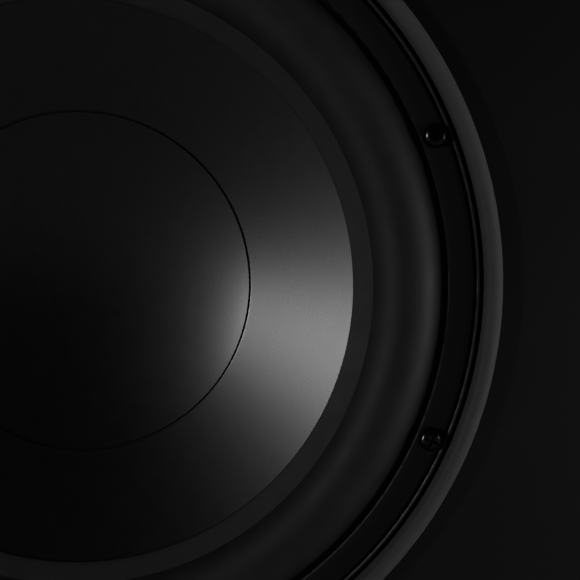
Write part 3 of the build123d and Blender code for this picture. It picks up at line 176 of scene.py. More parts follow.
def grained(made, size, depth, colours=None, rough=None, patch=None, detail=3.0, squeeze=None):
    """Give a material a grain of this size and depth in mm, and vary its colour and roughness."""
    tree = made.node_tree
    shader = tree.nodes["Principled BSDF"]
    place = add(tree, "ShaderNodeTexCoord").outputs["Object"]
    if squeeze:
        place = add(tree, "ShaderNodeVectorMath", {0: place, 1: squeeze}, operation="MULTIPLY").outputs[0]
    grain = add(tree, "ShaderNodeTexNoise", {"Vector": place, "Scale": per_metre(size), "Detail": detail})
    bump = add(tree, "ShaderNodeBump", {"Height": grain.outputs["Fac"], "Distance": depth / 1000})
    tree.links.new(bump.outputs["Normal"], shader.inputs["Normal"])
    cloud = grain
    if patch:
        cloud = add(tree, "ShaderNodeTexNoise", {"Vector": place, "Scale": per_metre(patch), "Detail": 4.0})
    if colours:
        ramp = add(tree, "ShaderNodeValToRGB", {"Fac": cloud.outputs["Fac"]})
        ramp.color_ramp.elements[0].position = 0.3
        ramp.color_ramp.elements[0].color = linear(colours[0])
        ramp.color_ramp.elements[1].position = 0.7
        ramp.color_ramp.elements[1].color = linear(colours[1])
        tree.links.new(ramp.outputs["Color"], shader.inputs["Base Color"])
    if rough:
        spread = add(tree, "ShaderNodeMapRange", {"Value": cloud.outputs["Fac"], "From Min": 0.3,
                                                  "From Max": 0.7, "To Min": rough[0], "To Max": rough[1]})
        tree.links.new(spread.outputs["Result"], shader.inputs["Roughness"])
    return made


def relief(made, height, depth, colours=None, invert=False):
    """Raise a material where a node's value is high, by a depth in metres, and tint it to match."""
    tree = made.node_tree
    shader = tree.nodes["Principled BSDF"]
    bump = add(tree, "ShaderNodeBump", {"Height": height, "Distance": depth}, invert=invert)
    tree.links.new(bump.outputs["Normal"], shader.inputs["Normal"])
    if not colours:
        return None
    tint = add(tree, "ShaderNodeValToRGB", {"Fac": height})
    for element, colour in zip(tint.color_ramp.elements, colours):
        element.color = linear(colour)
    tree.links.new(tint.outputs["Color"], shader.inputs["Base Color"])
    return tint


def wear(made, *nodes):
    """Put a material on every slot of these pieces."""
    for name in nodes:
        held = bpy.data.objects[name].data.materials
        for index in range(len(held)):
            held[index] = made
        if not held:
            held.append(made)


def piece(name, mesh, made, slot, body, *nodes, smooth=True):
    """Finish a mesh as a named piece that rides on a body and stands for CAD nodes."""
    mesh_object = bpy.data.objects.new(name, mesh)
    bpy.context.collection.objects.link(mesh_object)
    mesh_object.data.materials.append(made)
    for face in mesh_object.data.polygons:
        face.use_smooth = smooth
    if body:
        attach(mesh_object, body)
    if nodes:
        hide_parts(*nodes)
    return mesh_object


floor_mesh = bpy.data.meshes.new("studio_floor")
floor_mesh.from_pydata([(-6, -6, 0), (6, -6, 0), (6, 6, 0), (-6, 6, 0)], [], [(0, 1, 2, 3)])
studio_floor = bpy.data.objects.new("studio_floor", floor_mesh)
bpy.context.collection.objects.link(studio_floor)
studio_floor.location.z = cad_low.z
floor_mesh.materials.append(grained(material("matt_painted_board", "8a8987", Roughness=0.85), 3.0, 0.01))

# --------------------------------------
# Cabinet panels. MDF with glued mitres, rounded over, sanded and sprayed with
# satin black lacquer in one go, so the joints don't show. The spray leaves a
# faint orange peel, and handling leaves slightly duller patches.
# --------------------------------------

lacquer = grained(
    material("satin_black_lacquer_on_mdf", "0f0f10", Roughness=0.34, IOR=1.5),
    size=1.6, depth=0.006, colours=("0e0e0f", "101011"), rough=(0.33, 0.355), patch=45.0,
)
wear(lacquer, "front_baffle", "left_panel", "right_panel", "top_panel", "bottom_panel", "back_panel")

# --------------------------------------
# Window brace. Raw medium-density fibreboard, sawn and glued between the four
# walls: warm brown, matt, with short fibres showing on its cut edges.
# --------------------------------------

fibreboard = grained(
    material("raw_sawn_mdf", "8a6a48", Roughness=0.9),
    size=0.8, depth=0.04, colours=("7c5d3d", "9a7853"), patch=2.5, squeeze=(1, 6, 1),
)
wear(fibreboard, "window_brace")

# --------------------------------------
# Trim ring. A moulded ring of black thermoplastic rubber, pushed by its tongue
# into a groove around the driver. It is matt, with a fine even texture.
# --------------------------------------


def lathe(name, outline, depth_from, steps=256, middle=(0.0, 0.0)):
    """Turn an outline of (radius, depth) points about an axis along Y; a closed outline gives a solid."""
    mesh = bpy.data.meshes.new(name)
    count = len(outline)
    points = []
    for step in range(steps):
        turn = 2 * math.pi * step / steps
        for radius, depth in outline:
            points.append((middle[0] + radius * math.cos(turn), depth_from + depth,
                           middle[1] + radius * math.sin(turn)))
    faces = []
    for step in range(steps):
        ahead = (step + 1) % steps
        for place in range(count):
            beyond = (place + 1) % count
            faces.append((step * count + place, step * count + beyond,
                          ahead * count + beyond, ahead * count + place))
    mesh.from_pydata(points, [], faces)
    shape = bmesh.new()
    shape.from_mesh(mesh)
    bmesh.ops.remove_doubles(shape, verts=shape.verts, dist=1e-7)
    loose = [edge for edge in shape.edges if not edge.link_faces]
    bmesh.ops.delete(shape, geom=loose, context="EDGES")
    bmesh.ops.recalc_face_normals(shape, faces=shape.faces)
    shape.to_mesh(mesh)
    shape.free()
    mesh.set_sharp_from_angle(angle=math.radians(40))
    return mesh


def turned(name, outline, made, slot, body, node, steps=360):
    """Turn an outline about the driver's axis and finish it as a piece."""
    mesh = lathe(name, outline, front_y, steps, (axis_x, axis_z))
    return piece(name, mesh, made, slot, body, node)


def arc(middle, radius, first, last, count):
    """Points of an arc, angles in radians from the outward direction towards the front."""
    return [
        (middle[0] + radius * math.cos(first + (last - first) * i / count),
         middle[1] - radius * math.sin(first + (last - first) * i / count))
        for i in range(count + 1)
    ]


trim_rubber = grained(
    material("moulded_black_rubber_trim", "434344", Roughness=0.7, IOR=1.5, Specular_IOR_Level=0.2),
    size=0.5, depth=0.012, colours=("404041", "464647"), rough=(0.65, 0.75), patch=14.0,
)
trim_inner = 0.1540
trim_outer = 0.1600
trim_height = 0.0080
inner_round = 0.0022
outer_round = 0.0034
tongue_inner = 0.1553
tongue_outer = 0.1577
tongue_depth = 0.0040
trim_outline = (
    arc((trim_inner + inner_round, inner_round - trim_height), inner_round, math.pi, math.pi / 2, 16)
    + arc((trim_outer - outer_round, outer_round - trim_height), outer_round, math.pi / 2, 0, 24)
    + [(trim_outer, 0), (tongue_outer, 0), (tongue_outer, tongue_depth), (tongue_inner, tongue_depth)]
    + [(tongue_inner, 0), (trim_inner, 0)]
)
turned("moulded_trim_ring", trim_outline, trim_rubber, "trim_rubber", "cabinet", "trim_ring")

# --------------------------------------
# Basket. Die-cast aluminium with a black powder coat. Only the thin lip of its
# rim shows from the front, and its rounded edges catch the light as fine lines.
# --------------------------------------

basket_coat = grained(
    material("powder_coated_cast_aluminium", "2a2a2b", Roughness=0.42, IOR=1.5),
    size=0.7, depth=0.03, rough=(0.38, 0.48),
)
wear(basket_coat, "basket")

# --------------------------------------
# Clamp ring. Injection-moulded black ABS, screwed down over the surround's
# outer flange. Its face has a light spark-eroded mould texture.
# --------------------------------------

clamp_plastic = grained(
    material("moulded_black_abs_clamp_ring", "0d0d0e", Roughness=0.55, IOR=1.53, Specular_IOR_Level=0.25),
    size=0.35, depth=0.008, rough=(0.5, 0.6),
)
wear(clamp_plastic, "clamp_ring")

# --------------------------------------
# Screws. Cold-headed steel, phosphated and oiled nearly black. The domed heads
# keep some of the metal's gloss, so each carries small glints of the lamps.
# --------------------------------------

black_steel = grained(
    material("blackened_steel_screws", "3a3a3c", Metallic=1.0, Roughness=0.2),
    size=0.25, depth=0.003, colours=("303032", "48484a"), rough=(0.17, 0.23), patch=3.0,
)
wear(black_steel, "driver_screws", "amp_screws")

# --------------------------------------
# Threaded inserts. Free-cutting brass, turned and pressed into the baffle from
# behind, with fine marks from the lathe.
# --------------------------------------

brass = grained(
    material("turned_brass", "c09a4c", Metallic=1.0, Roughness=0.32),
    size=0.2, depth=0.004, squeeze=(1, 8, 1),
)
wear(brass, "threaded_inserts")

# --------------------------------------
# Seals. Closed-cell foam rubber, die-cut from sheet: dull charcoal, with the
# fine pits of cut bubbles.
# --------------------------------------

foam = grained(
    material("die_cut_foam_rubber", "1b1b1b", Roughness=0.92),
    size=0.6, depth=0.08, colours=("141414", "222222"),
)
wear(foam, "driver_seal", "amp_gasket")

# --------------------------------------
# Cone and dust cap. Pressed paper pulp with a hard satin coat. The coat gives a
# dark body with a strong, soft sheen on one side, and short fibres under it
# leave a faint grain.
# --------------------------------------

coated_pulp = grained(
    material("coated_paper_pulp", "0b0b0c", Roughness=0.275, IOR=1.58),
    size=0.9, depth=0.0025, colours=("0a0a0b", "0d0d0e"), rough=(0.27, 0.28), patch=6.0,
)


cone_angle = math.radians(24.7)
cone_slope = math.tan(cone_angle)
cone_wall = 0.0012 / math.cos(cone_angle)
cone_edge_depth = 0.003121
cone_reach = 0.1133
cone_bow = 0.0006
step_radius = 0.0674
step_drop = 0.00104
cone_edge = 0.1128
cone_neck = 0.03845
neck_wall = 0.0012
collar_length = 0.005


def cone_line(radius):
    """Depth of a straight cone's front at a radius."""
    return cone_edge_depth + cone_slope * (cone_reach - radius)


def cone_face(radius):
    """Depth of the bowed front between the groove and the edge."""
    share = (radius - step_radius) / (cone_edge - step_radius)
    return cone_line(radius) + 4 * cone_bow * share * (1 - share)


back_start = step_radius + 0.0035
back_step = step_radius + 0.0011
collar_depth = cone_line(cone_neck + neck_wall) + cone_wall + step_drop
front_steps = [step_radius + (cone_edge - step_radius) * i / 24 for i in range(25)]
back_steps = [cone_edge + (back_start - cone_edge) * i / 24 for i in range(25)]
cone_outline = (
    [(cone_neck, cone_line(cone_neck) + step_drop), (step_radius, cone_line(step_radius) + step_drop)]
    + [(radius, cone_face(radius)) for radius in front_steps]
    + [(radius, cone_face(radius) + cone_wall) for radius in back_steps]
    + [(back_step, cone_line(back_step) + cone_wall + step_drop), (cone_neck + neck_wall, collar_depth)]
    + [(cone_neck + neck_wall, collar_depth + collar_length), (cone_neck, collar_depth + collar_length)]
)
turned("pressed_cone", cone_outline, coated_pulp, "coated_pulp", "cone_assembly", "cone")

cap_radius = 0.0663
cap_wall = 0.0009
cap_edge_angle = math.radians(22.5)
dish_radius = cap_radius / math.sin(cap_edge_angle)
dish_middle = cone_line(cap_radius) - dish_radius * math.cos(cap_edge_angle)
cap_outline = [
    (reach * math.sin(cap_edge_angle * share), dish_middle + reach * math.cos(cap_edge_angle * share))
    for reach, shares in (
        (dish_radius, [i / 48 for i in range(49)]),
        (dish_radius + cap_wall, [1 - i / 48 for i in range(49)]),
    )
    for share in shares
]
turned("pressed_cap", cap_outline, coated_pulp, "coated_pulp", "cone_assembly", "dust_cap")

# --------------------------------------
# Surround. One half-roll of butyl rubber, moulded in one piece. Its inner flange
# is glued on the cone and ends in a sharp lip, and its outer flange is clamped
# under the ring. The mould leaves it matt, with a fine grain.
# --------------------------------------

surround_thick = 0.0012
roll_inner_root = 0.1133
roll_outer_root = 0.1391
roll_root_depth = 0.0015
roll_crown_depth = -0.0075
flange_depth = 0.0020
lip_radius = 0.1062
lip_slope = math.radians(27.1)
flange_outer = 0.1504

roll_middle = (roll_inner_root + roll_outer_root) / 2
roll_half = (roll_outer_root - roll_inner_root) / 2
roll_rise = (roll_root_depth + flange_depth) / 2 - roll_crown_depth
roll_radius = (roll_half ** 2 + roll_rise ** 2) / (2 * roll_rise)
roll_centre = (roll_middle, roll_crown_depth + roll_radius)
inside = roll_radius - surround_thick


def level_angle(radius, depth):
    """Angle above the outward direction where a roll of this radius crosses a depth."""
    return math.asin((roll_centre[1] - depth) / radius)


lip_drop = math.tan(lip_slope) * (roll_inner_root - lip_radius)
wall = surround_thick / math.cos(cone_angle)
outer_start = level_angle(roll_radius, flange_depth)
inner_start = level_angle(roll_radius, roll_root_depth)
under_outer = level_angle(inside, flange_depth + surround_thick)
under_inner = level_angle(inside, roll_root_depth + wall)
lip_back = 0.00015
rubber_outline = (
    [(lip_radius + lip_back, roll_root_depth + lip_drop - lip_back / 2)]
    + [(lip_radius + (roll_inner_root - lip_radius) * i / 5,
        roll_root_depth + lip_drop * (1 - i / 5)) for i in range(1, 5)]
    + arc(roll_centre, roll_radius, math.pi - inner_start, outer_start, 40)
    + [(roll_outer_root + (flange_outer - roll_outer_root) * i / 4, flange_depth) for i in range(1, 5)]
    + [(flange_outer - (flange_outer - roll_outer_root) * i / 4, flange_depth + surround_thick)
       for i in range(4)]
    + arc(roll_centre, inside, under_outer, math.pi - under_inner, 40)
    + [(lip_radius, roll_root_depth + lip_drop + wall), (lip_radius, roll_root_depth + lip_drop + 0.0001)]
)
surround_rubber = grained(
    material("moulded_butyl_rubber", "1e1e1f", Roughness=0.6, IOR=1.5, Specular_IOR_Level=0.25),
    size=0.55, depth=0.02, colours=("1b1b1c", "212122"), rough=(0.56, 0.64), patch=9.0,
)
surround = turned("roll_surround", rubber_outline, surround_rubber, "surround_rubber", None,
                  "surround")


def smoothly(share):
    """Ease in and out from 0 to 1."""
    return share * share * (3 - 2 * share)


def between(low, high, obj, follow):
    """Bake a ring's place into its mesh and reckon each point's eased share of the way from one radius to
    the other.
    """
    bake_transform(obj)
    share = np.empty(len(obj.data.vertices), dtype=np.float32)
    for vertex in obj.data.vertices:
        radius = math.hypot(vertex.co.x - axis_x, vertex.co.z - axis_z)
        share[vertex.index] = follow(min(1.0, max(0.0, (radius - low) / (high - low))))


between(roll_inner_root - 0.0005, roll_outer_root + 0.0005, surround, smoothly)

# --------------------------------------
# Spider. A disc of woven cotton, soaked in phenolic resin and pressed hot into
# waves. It centres the coil: glued to the former inside and the basket outside.
# --------------------------------------

spider_low, spider_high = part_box("spider")
spider_outer = (spider_high.x - spider_low.x) / 2
spider_inner = 0.0387
spider_thick = 0.0010
wave_first = 0.0447
outer_flat = 0.010
wave_last = spider_outer - outer_flat
wave_height = 0.0012
wave_count = 4
spider_middle = (spider_low.y + spider_high.y) / 2 - front_y


def wave(radius):
    """Height of the pressed waves at a radius."""
    if not wave_first < radius < wave_last:
        return 0.0
    share = (radius - wave_first) / (wave_last - wave_first)
    return wave_height * math.sin(2 * math.pi * wave_count * share)


spider_steps = [spider_inner + (spider_outer - spider_inner) * i / 96 for i in range(97)]
cloth_outline = [(r, spider_middle - wave(r) - spider_thick / 2) for r in spider_steps]
cloth_outline += [(r, spider_middle - wave(r) + spider_thick / 2) for r in reversed(spider_steps)]

spider_cloth = material("resin_pressed_cotton", "b08a3c", Roughness=0.8)
weave_tree = spider_cloth.node_tree
weave_place = add(weave_tree, "ShaderNodeTexCoord").outputs["Object"]
threads = [
    add(weave_tree, "ShaderNodeTexWave", {"Vector": weave_place, "Scale": wave_scale(0.9),
                                          "Distortion": 0.4, "Detail": 1.0}, bands_direction=way)
    for way in ("X", "Z")
]
crossing = add(weave_tree, "ShaderNodeMath", {0: threads[0].outputs["Fac"], 1: threads[1].outputs["Fac"]},
               operation="MAXIMUM")
# The weave's tint is painted shade and highlight: darker in the dips between threads, lighter on the raised
# crossings.
relief(spider_cloth, crossing.outputs[0], 0.0001, ("8d6a26", "bb9444"))

spider = turned("pressed_spider", cloth_outline, spider_cloth, "spider_cloth", None, "spider", 180)
between(wave_first, wave_last, spider, smoothly)

# --------------------------------------
# Coil former and voice coil. The former is thin hard aluminium; the coil is
# four layers of enamelled copper wire, baked together, with one turn showing
# about every 0.3 mm.
# --------------------------------------

bare_aluminium = grained(
    material("rolled_bare_aluminium", "c9cbce", Metallic=1.0, Roughness=0.34),
    size=0.3, depth=0.004, rough=(0.28, 0.4), squeeze=(1, 12, 1),
)
wear(bare_aluminium, "coil_former", "shorting_ring")

copper = material("enamelled_copper_wire", "9a4a22", Metallic=1.0, Roughness=0.28, Coat_Weight=0.6)
copper_tree = copper.node_tree
copper_place = add(copper_tree, "ShaderNodeTexCoord").outputs["Object"]
turns_of_wire = add(copper_tree, "ShaderNodeTexWave",
                    {"Vector": copper_place, "Scale": wave_scale(0.3)}, bands_direction="Y")
relief(copper, turns_of_wire.outputs["Fac"], 0.0001)
wear(copper, "voice_coil")

# --------------------------------------
# Motor. Two fired ferrite rings between a zinc-plated steel plate and yoke,
# glued and then covered by a moulded rubber boot. Ferrite is dark grey and
# dull; the plating is bluish and bright, with turning marks.
# --------------------------------------

ferrite = grained(
    material("fired_ferrite", "37383b", Roughness=0.72),
    size=0.5, depth=0.03, colours=("303134", "404145"), rough=(0.62, 0.8), patch=8.0,
)
wear(ferrite, "magnet_rings")
zinc = grained(
    material("zinc_plated_steel", "b4b7bd", Metallic=1.0, Roughness=0.36),
    size=0.4, depth=0.006, colours=("a9acb2", "bfc2c8"), rough=(0.3, 0.44), patch=5.0,
)
wear(zinc, "top_plate", "yoke", "motor_screws", "control_pots", "switch_bodies", "toroid_clamp",
     "foot_screws")
boot_rubber = grained(
    material("moulded_rubber_boot", "1c1c1d", Roughness=0.65),
    size=0.6, depth=0.02, colours=("19191a", "212122"), rough=(0.58, 0.7),
)
wear(boot_rubber, "magnet_boot")

# --------------------------------------
# Terminal board and lugs. A punched strip of brown phenolic paper board with
# two tinned brass lugs riveted through it.
# --------------------------------------

phenolic = grained(
    material("punched_phenolic_board", "5a3a1e", Roughness=0.55),
    size=0.4, depth=0.01, colours=("4e3118", "654425"), squeeze=(1, 1, 5),
)
wear(phenolic, "terminal_board")
tinned = grained(
    material("tinned_brass", "bdb9ae", Metallic=1.0, Roughness=0.38),
    size=0.3, depth=0.006, rough=(0.3, 0.46),
)
wear(tinned, "terminal_lugs")


def line_of(name, points):
    """A smooth open curve that the given points control."""
    curve = bpy.data.curves.new(name, "CURVE")
    curve.dimensions = "3D"
    curve.resolution_u = 12
    spline = curve.splines.new("NURBS")
    spline.points.add(len(points) - 1)
    for place, point in zip(spline.points, points):
        place.co = (*point, 1.0)
    spline.order_u = 3
    spline.use_endpoint_u = True
    return curve


def centreline(curve):
    """The points of a curve's own line."""
    holder = bpy.data.objects.new("route", curve)
    bpy.context.collection.objects.link(holder)
    traced = bpy.data.meshes.new_from_object(holder.evaluated_get(bpy.context.evaluated_depsgraph_get()))
    points = [vertex.co.copy() for vertex in traced.vertices]
    bpy.data.objects.remove(holder)
    return points


def length_of(points):
    """Length of a line of points."""
    return sum((b - a).length for a, b in zip(points, points[1:]))


# --------------------------------------
# Tinsel leads. Flat copper tinsel braided round a cotton core, very limp, from
# the back of the cone to the terminal lugs. Each is a braid of eight strands
# that wind both ways, so it bends millions of times without breaking.
# --------------------------------------

lug_low, lug_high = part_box("terminal_lugs")
lead_reach = 0.012
lead_root = 0.056
root_depth = 0.03224
lead_radius = 0.0009
lead_height = lug_high.z - axis_z - 0.0016
crimp_front = lug_low.y - front_y
lean_out = math.sin(lip_slope)
lean_back = math.cos(lip_slope)
strand_count = 8
strand_radius = 0.00019
strand_reach = lead_radius - 1.15 * strand_radius
core_radius = lead_radius * 0.62
strand_pitch = 0.008

tinsel = grained(
    material("braided_copper_tinsel", "b48a62", Metallic=1.0, Roughness=0.4),
    size=0.25, depth=0.02, colours=("9d7450", "c9a57c"), rough=(0.32, 0.5),
)


def crosswise(points):
    """Each point of a line with two directions across it that turn as little as they can."""
    side_way = None
    for index, point in enumerate(points):
        ahead = (points[min(index + 1, len(points) - 1)] - points[max(index - 1, 0)]).normalized()
        if side_way is None:
            side_way = ahead.orthogonal().normalized()
        side_way = (side_way - ahead * side_way.dot(ahead)).normalized()
        yield point, side_way, ahead.cross(side_way)


def tube(shape, points, radius, sides=6):
    """Sweep a round section along points and cap both ends."""
    rings = []
    for point, side_way, other in crosswise(points):
        rings.append([
            shape.verts.new(point + radius * (math.cos(turn) * side_way + math.sin(turn) * other))
            for turn in (2 * math.pi * side / sides for side in range(sides))
        ])
    for first, second in zip(rings, rings[1:]):
        for side in range(sides):
            beyond = (side + 1) % sides
            shape.faces.new((first[side], first[beyond], second[beyond], second[side]))
    shape.faces.new(list(reversed(rings[0])))
    shape.faces.new(rings[-1])


def around_line(points, radius, pitch, start, way):
    """Points of a strand that winds about a line."""
    strand = []
    gone = 0.0
    before = points[0]
    for point, side_way, other in crosswise(points):
        gone += (point - before).length
        before = point
        turn = start + way * 2 * math.pi * gone / pitch
        weave_in = radius * (1 + 0.12 * way * math.cos(strand_count * turn / 2))
        strand.append(point + weave_in * (math.cos(turn) * side_way + math.sin(turn) * other))
    return strand


for name, side in (("tinsel_lead_left", -1), ("tinsel_lead_right", 1)):
    lead_points = [
        Vector((axis_x + side * out, front_y + depth, axis_z + height))
        for out, depth, height in (
            (lead_reach, root_depth, lead_root),
            (lead_reach, root_depth + 0.008 * lean_back, lead_root + 0.008 * lean_out),
            (lead_reach + 0.0015, root_depth + 0.014, lead_root + 0.011),
            (lead_reach + 0.003, root_depth + 0.016, lead_root + 0.021),
            (lead_reach + 0.002, root_depth + 0.014, lead_root + 0.030),
            (lead_reach, crimp_front - 0.009, lead_height),
            (lead_reach, crimp_front, lead_height),
        )
    ]
    lead_line = centreline(line_of(name + "_route", lead_points))
    braid = bmesh.new()
    tube(braid, lead_line, core_radius, 10)
    for strand in range(strand_count):
        way = 1 if strand % 2 else -1
        turn_start = 2 * math.pi * strand / strand_count
        strand_line = around_line(lead_line, strand_reach, strand_pitch, turn_start, way)
        tube(braid, strand_line, strand_radius, 5)
    braid_mesh = bpy.data.meshes.new(name + "_braid")
    braid.to_mesh(braid_mesh)
    braid.free()
    lead = piece(name + "_braid", braid_mesh, tinsel, "tinned_braid", None, name)
    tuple(lead_points[0])
    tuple(lead_points[-1])
    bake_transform(lead)
    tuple(lead_points[0])
    length_of(lead_line)

# --------------------------------------
# Speaker wires. Stranded copper in soft PVC, one red and one black, 2.8 mm
# across. They hang from the terminal lugs through the brace into the amplifier.
# --------------------------------------

amp_board_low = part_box("main_board")[0]
wire_start = lug_high.y - front_y
wire_end = amp_board_low.y - front_y
wire_reach = wire_end - wire_start
wire_radius = 0.0014
wire_entry = 0.052

for name, side, colour in (("speaker_wire_red", 1, "a81a16"), ("speaker_wire_black", -1, "161617")):
    sheath = grained(
        material("extruded_pvc_" + name.split("_")[-1], colour, Roughness=0.42, IOR=1.54),
        size=0.4, depth=0.006, rough=(0.36, 0.48), patch=4.0,
    )
    wire_points = [
        Vector((axis_x + side * out, front_y + wire_start + share * wire_reach, axis_z + height))
        for out, share, height in (
            (lead_reach, 0.0, lead_height),
            (lead_reach, 0.09, lead_height),
            (0.0135, 0.22, lead_height + 0.001),
            (0.018, 0.365, 0.094),
            (0.022, 0.525, 0.082),
            (0.021, 0.675, 0.068),
            (0.015, 0.81, 0.056),
            (lead_reach, 0.915, wire_entry),
            (lead_reach, 1.0, wire_entry),
        )
    ]
    wire_length = length_of(centreline(line_of(name + "_route", wire_points)))
    wire_curve = line_of(name + "_sheath", wire_points)
    wire_curve.bevel_depth = wire_radius
    wire_curve.bevel_resolution = 4
    wire_curve.use_fill_caps = True
    wire_curve.materials.append(sheath)
    wire = bpy.data.objects.new(name + "_sheath", wire_curve)
    bpy.context.collection.objects.link(wire)
    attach(wire, "cabinet")
    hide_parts(name)
    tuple(wire_points[0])

# --------------------------------------
# Wall wadding. Four batts of bonded white polyester fibre, cut to length and
# stapled loosely to the walls behind the brace, so they swell between staples.
# --------------------------------------

wadding_low, wadding_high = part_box("wall_wadding")
batt_thick = 0.025
batt_edge = 0.033
batt_clear = 0.0008
batt_round = 0.012
batt_draw = 0.004

polyester = grained(
    material("bonded_polyester_fibre", "e6e4dc", Roughness=0.95, Sheen_Weight=0.4),
    size=1.1, depth=0.25, colours=("dcd9cf", "efede6"), patch=12.0, squeeze=(1, 3, 1),
)


def batt(name, low, high, thin_axis, inward):
    """A swollen batt of wadding between two corners, flat against its wall."""
    shape = bmesh.new()
    bmesh.ops.create_cube(shape, size=1.0)
    bmesh.ops.subdivide_edges(shape, edges=shape.edges[:], cuts=15, use_grid_fill=True)
    size = high - low
    for vertex in shape.verts:
        share = [vertex.co[i] + 0.5 for i in range(3)]
        wide = [i for i in range(3) if i != thin_axis]
        fall = min(min(share[i], 1 - share[i]) * size[i] for i in wide)
        round_off = 1 - math.exp(-fall / batt_round)
        dimple = min(
            1.0,
            0.35 + (0.5 + 0.5 * math.cos(4 * math.pi * share[wide[0]]))
            * (0.5 + 0.5 * math.cos(4 * math.pi * share[wide[1]])),
        )
        lump = noise.noise(Vector(vertex.co) * 7 + Vector((len(name), 3.1, thin_axis)))
        depth = share[thin_axis] if inward > 0 else 1 - share[thin_axis]
        swell = depth * (0.45 + 0.55 * round_off) * (0.86 + 0.10 * dimple + 0.05 * lump)
        pull = batt_draw * (1 - round_off)
        for i in wide:
            middle = share[i] - 0.5
            vertex.co[i] = low[i] + size[i] * (0.5 + middle * (1 - 2 * pull / size[i]))
        place = swell if inward > 0 else 1 - swell
        vertex.co[thin_axis] = low[thin_axis] + size[thin_axis] * place
    batt_mesh = bpy.data.meshes.new(name)
    shape.to_mesh(batt_mesh)
    shape.free()
    made = piece(name, batt_mesh, polyester, "polyester_wadding", "cabinet", "wall_wadding")
    finer = made.modifiers.new("finer", "SUBSURF")
    finer.levels = finer.render_levels = 1


gap = Vector((batt_clear, batt_clear, batt_clear))
for name, thin_axis, inward in (("batt_left", 0, 1), ("batt_right", 0, -1),
                                ("batt_bottom", 2, 1), ("batt_top", 2, -1)):
    long_axis = 2 - thin_axis
    low, high = wadding_low.copy(), wadding_high.copy()
    low[long_axis] += batt_edge
    high[long_axis] -= batt_edge
    if inward > 0:
        high[thin_axis] = low[thin_axis] + batt_thick
    else:
        low[thin_axis] = high[thin_axis] - batt_thick
    batt(name, low + gap, high - gap, thin_axis, inward)

# --------------------------------------
# Amplifier plate. Steel sheet, punched and folded flat, with a fine black
# powder coat: matt, with the small even lumps that the baked powder leaves.
# --------------------------------------

powder_coat = grained(
    material("powder_coated_steel_plate", "1d1d1f", Roughness=0.5, IOR=1.5),
    size=0.9, depth=0.05, colours=("19191b", "222224"), rough=(0.44, 0.56), detail=2.0,
)
wear(powder_coat, "amp_plate")

# --------------------------------------
# Heat sink. Aluminium extruded with its fins, sawn to length and anodised
# black. The die leaves fine lines along the fins, and the sheen is dry.
# --------------------------------------

anodised = grained(
    material("black_anodised_extruded_aluminium", "202124", Metallic=0.55, Roughness=0.42),
    size=0.35, depth=0.008, colours=("1b1c1f", "28292c"), rough=(0.36, 0.5), squeeze=(1, 1, 0.02),
)
wear(anodised, "heat_sink")

# --------------------------------------
# Inner box and speaker-level socket. Injection-moulded black ABS with a spark
# texture: matt, with a fine sandy grain.
# --------------------------------------

abs_plastic = grained(
    material("moulded_black_abs", "1a1a1b", Roughness=0.5, IOR=1.53),
    size=0.45, depth=0.02, rough=(0.44, 0.56),
)
wear(abs_plastic, "amp_box", "speaker_input")

# --------------------------------------
# Circuit boards. Glass-fibre laminate under green solder mask, with copper
# tracks that show through it as lighter, slightly raised bands.
# --------------------------------------

solder_mask = material("solder_masked_glass_laminate", "1c5a34", Roughness=0.34, Coat_Weight=0.3)
mask_tree = solder_mask.node_tree
mask_place = add(mask_tree, "ShaderNodeTexCoord").outputs["Object"]
tracks = add(mask_tree, "ShaderNodeTexVoronoi", {"Vector": mask_place, "Scale": per_metre(7.0),
                                                 "Randomness": 0.55},
             feature="DISTANCE_TO_EDGE", distance="EUCLIDEAN")
track_edge = add(mask_tree, "ShaderNodeMapRange", {"Value": tracks.outputs["Distance"], "From Min": 0.05,
                                                   "From Max": 0.09})
relief(solder_mask, track_edge.outputs["Result"], 0.00004, ("2f8450", "174c2b"), invert=True)
wear(solder_mask, "main_board", "control_board")

# --------------------------------------
# Capacitors and power transistors. The capacitors are aluminium cans in shrunk
# PVC sleeves, glossy and dark blue. The transistors are moulded in epoxy.
# --------------------------------------

shrunk_sleeve = grained(
    material("shrunk_pvc_sleeve", "182440", Roughness=0.25, IOR=1.54),
    size=2.5, depth=0.02, rough=(0.2, 0.3),
)
wear(shrunk_sleeve, "capacitors")
epoxy = grained(
    material("moulded_black_epoxy", "1b1b1c", Roughness=0.6),
    size=0.3, depth=0.015, rough=(0.55, 0.68),
)
wear(epoxy, "power_transistors")

# --------------------------------------
# Toroidal transformer. Its windings are wrapped in yellow polyester tape that
# overlaps round the ring, so the edge of every turn of tape shows as a step.
# --------------------------------------

toroid_low, toroid_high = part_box("toroid")
tape_turns = 44
winding_tape = material("wrapped_polyester_tape", "c8a02c", Roughness=0.34, Coat_Weight=0.3)
tape_tree = winding_tape.node_tree
tape_place = add(tape_tree, "ShaderNodeTexCoord").outputs["Object"]
tape_middle = add(tape_tree, "ShaderNodeMapping", {
    "Vector": tape_place,
    "Location": (-(toroid_low.x + toroid_high.x) / 2, -(toroid_low.z + toroid_high.z) / 2, 0.0),
    "Rotation": (math.radians(90), 0.0, 0.0),
}, vector_type="POINT")
tape_turn = add(tape_tree, "ShaderNodeTexGradient", {"Vector": tape_middle.outputs["Vector"]},
                gradient_type="RADIAL")
tape_count = add(tape_tree, "ShaderNodeMath", {0: tape_turn.outputs["Fac"], 1: tape_turns},
                 operation="MULTIPLY")
tape_step = add(tape_tree, "ShaderNodeMath", {0: tape_count.outputs[0]}, operation="FRACT")
# The tint is painted shade: each turn of tape is darkest at the foot of its step and lightens over its
# first quarter.
tape_step_shade = relief(winding_tape, tape_step.outputs[0], 0.0002, ("a07c1c", "d2ab36"))
tape_step_shade.color_ramp.elements[1].position = 0.25
wear(winding_tape, "toroid")

# --------------------------------------
# Knobs and sliders. Moulded black ABS, fluted for grip, with a painted pointer
# run into the knobs' engraved line. The plate has a screen-printed scale.
# --------------------------------------

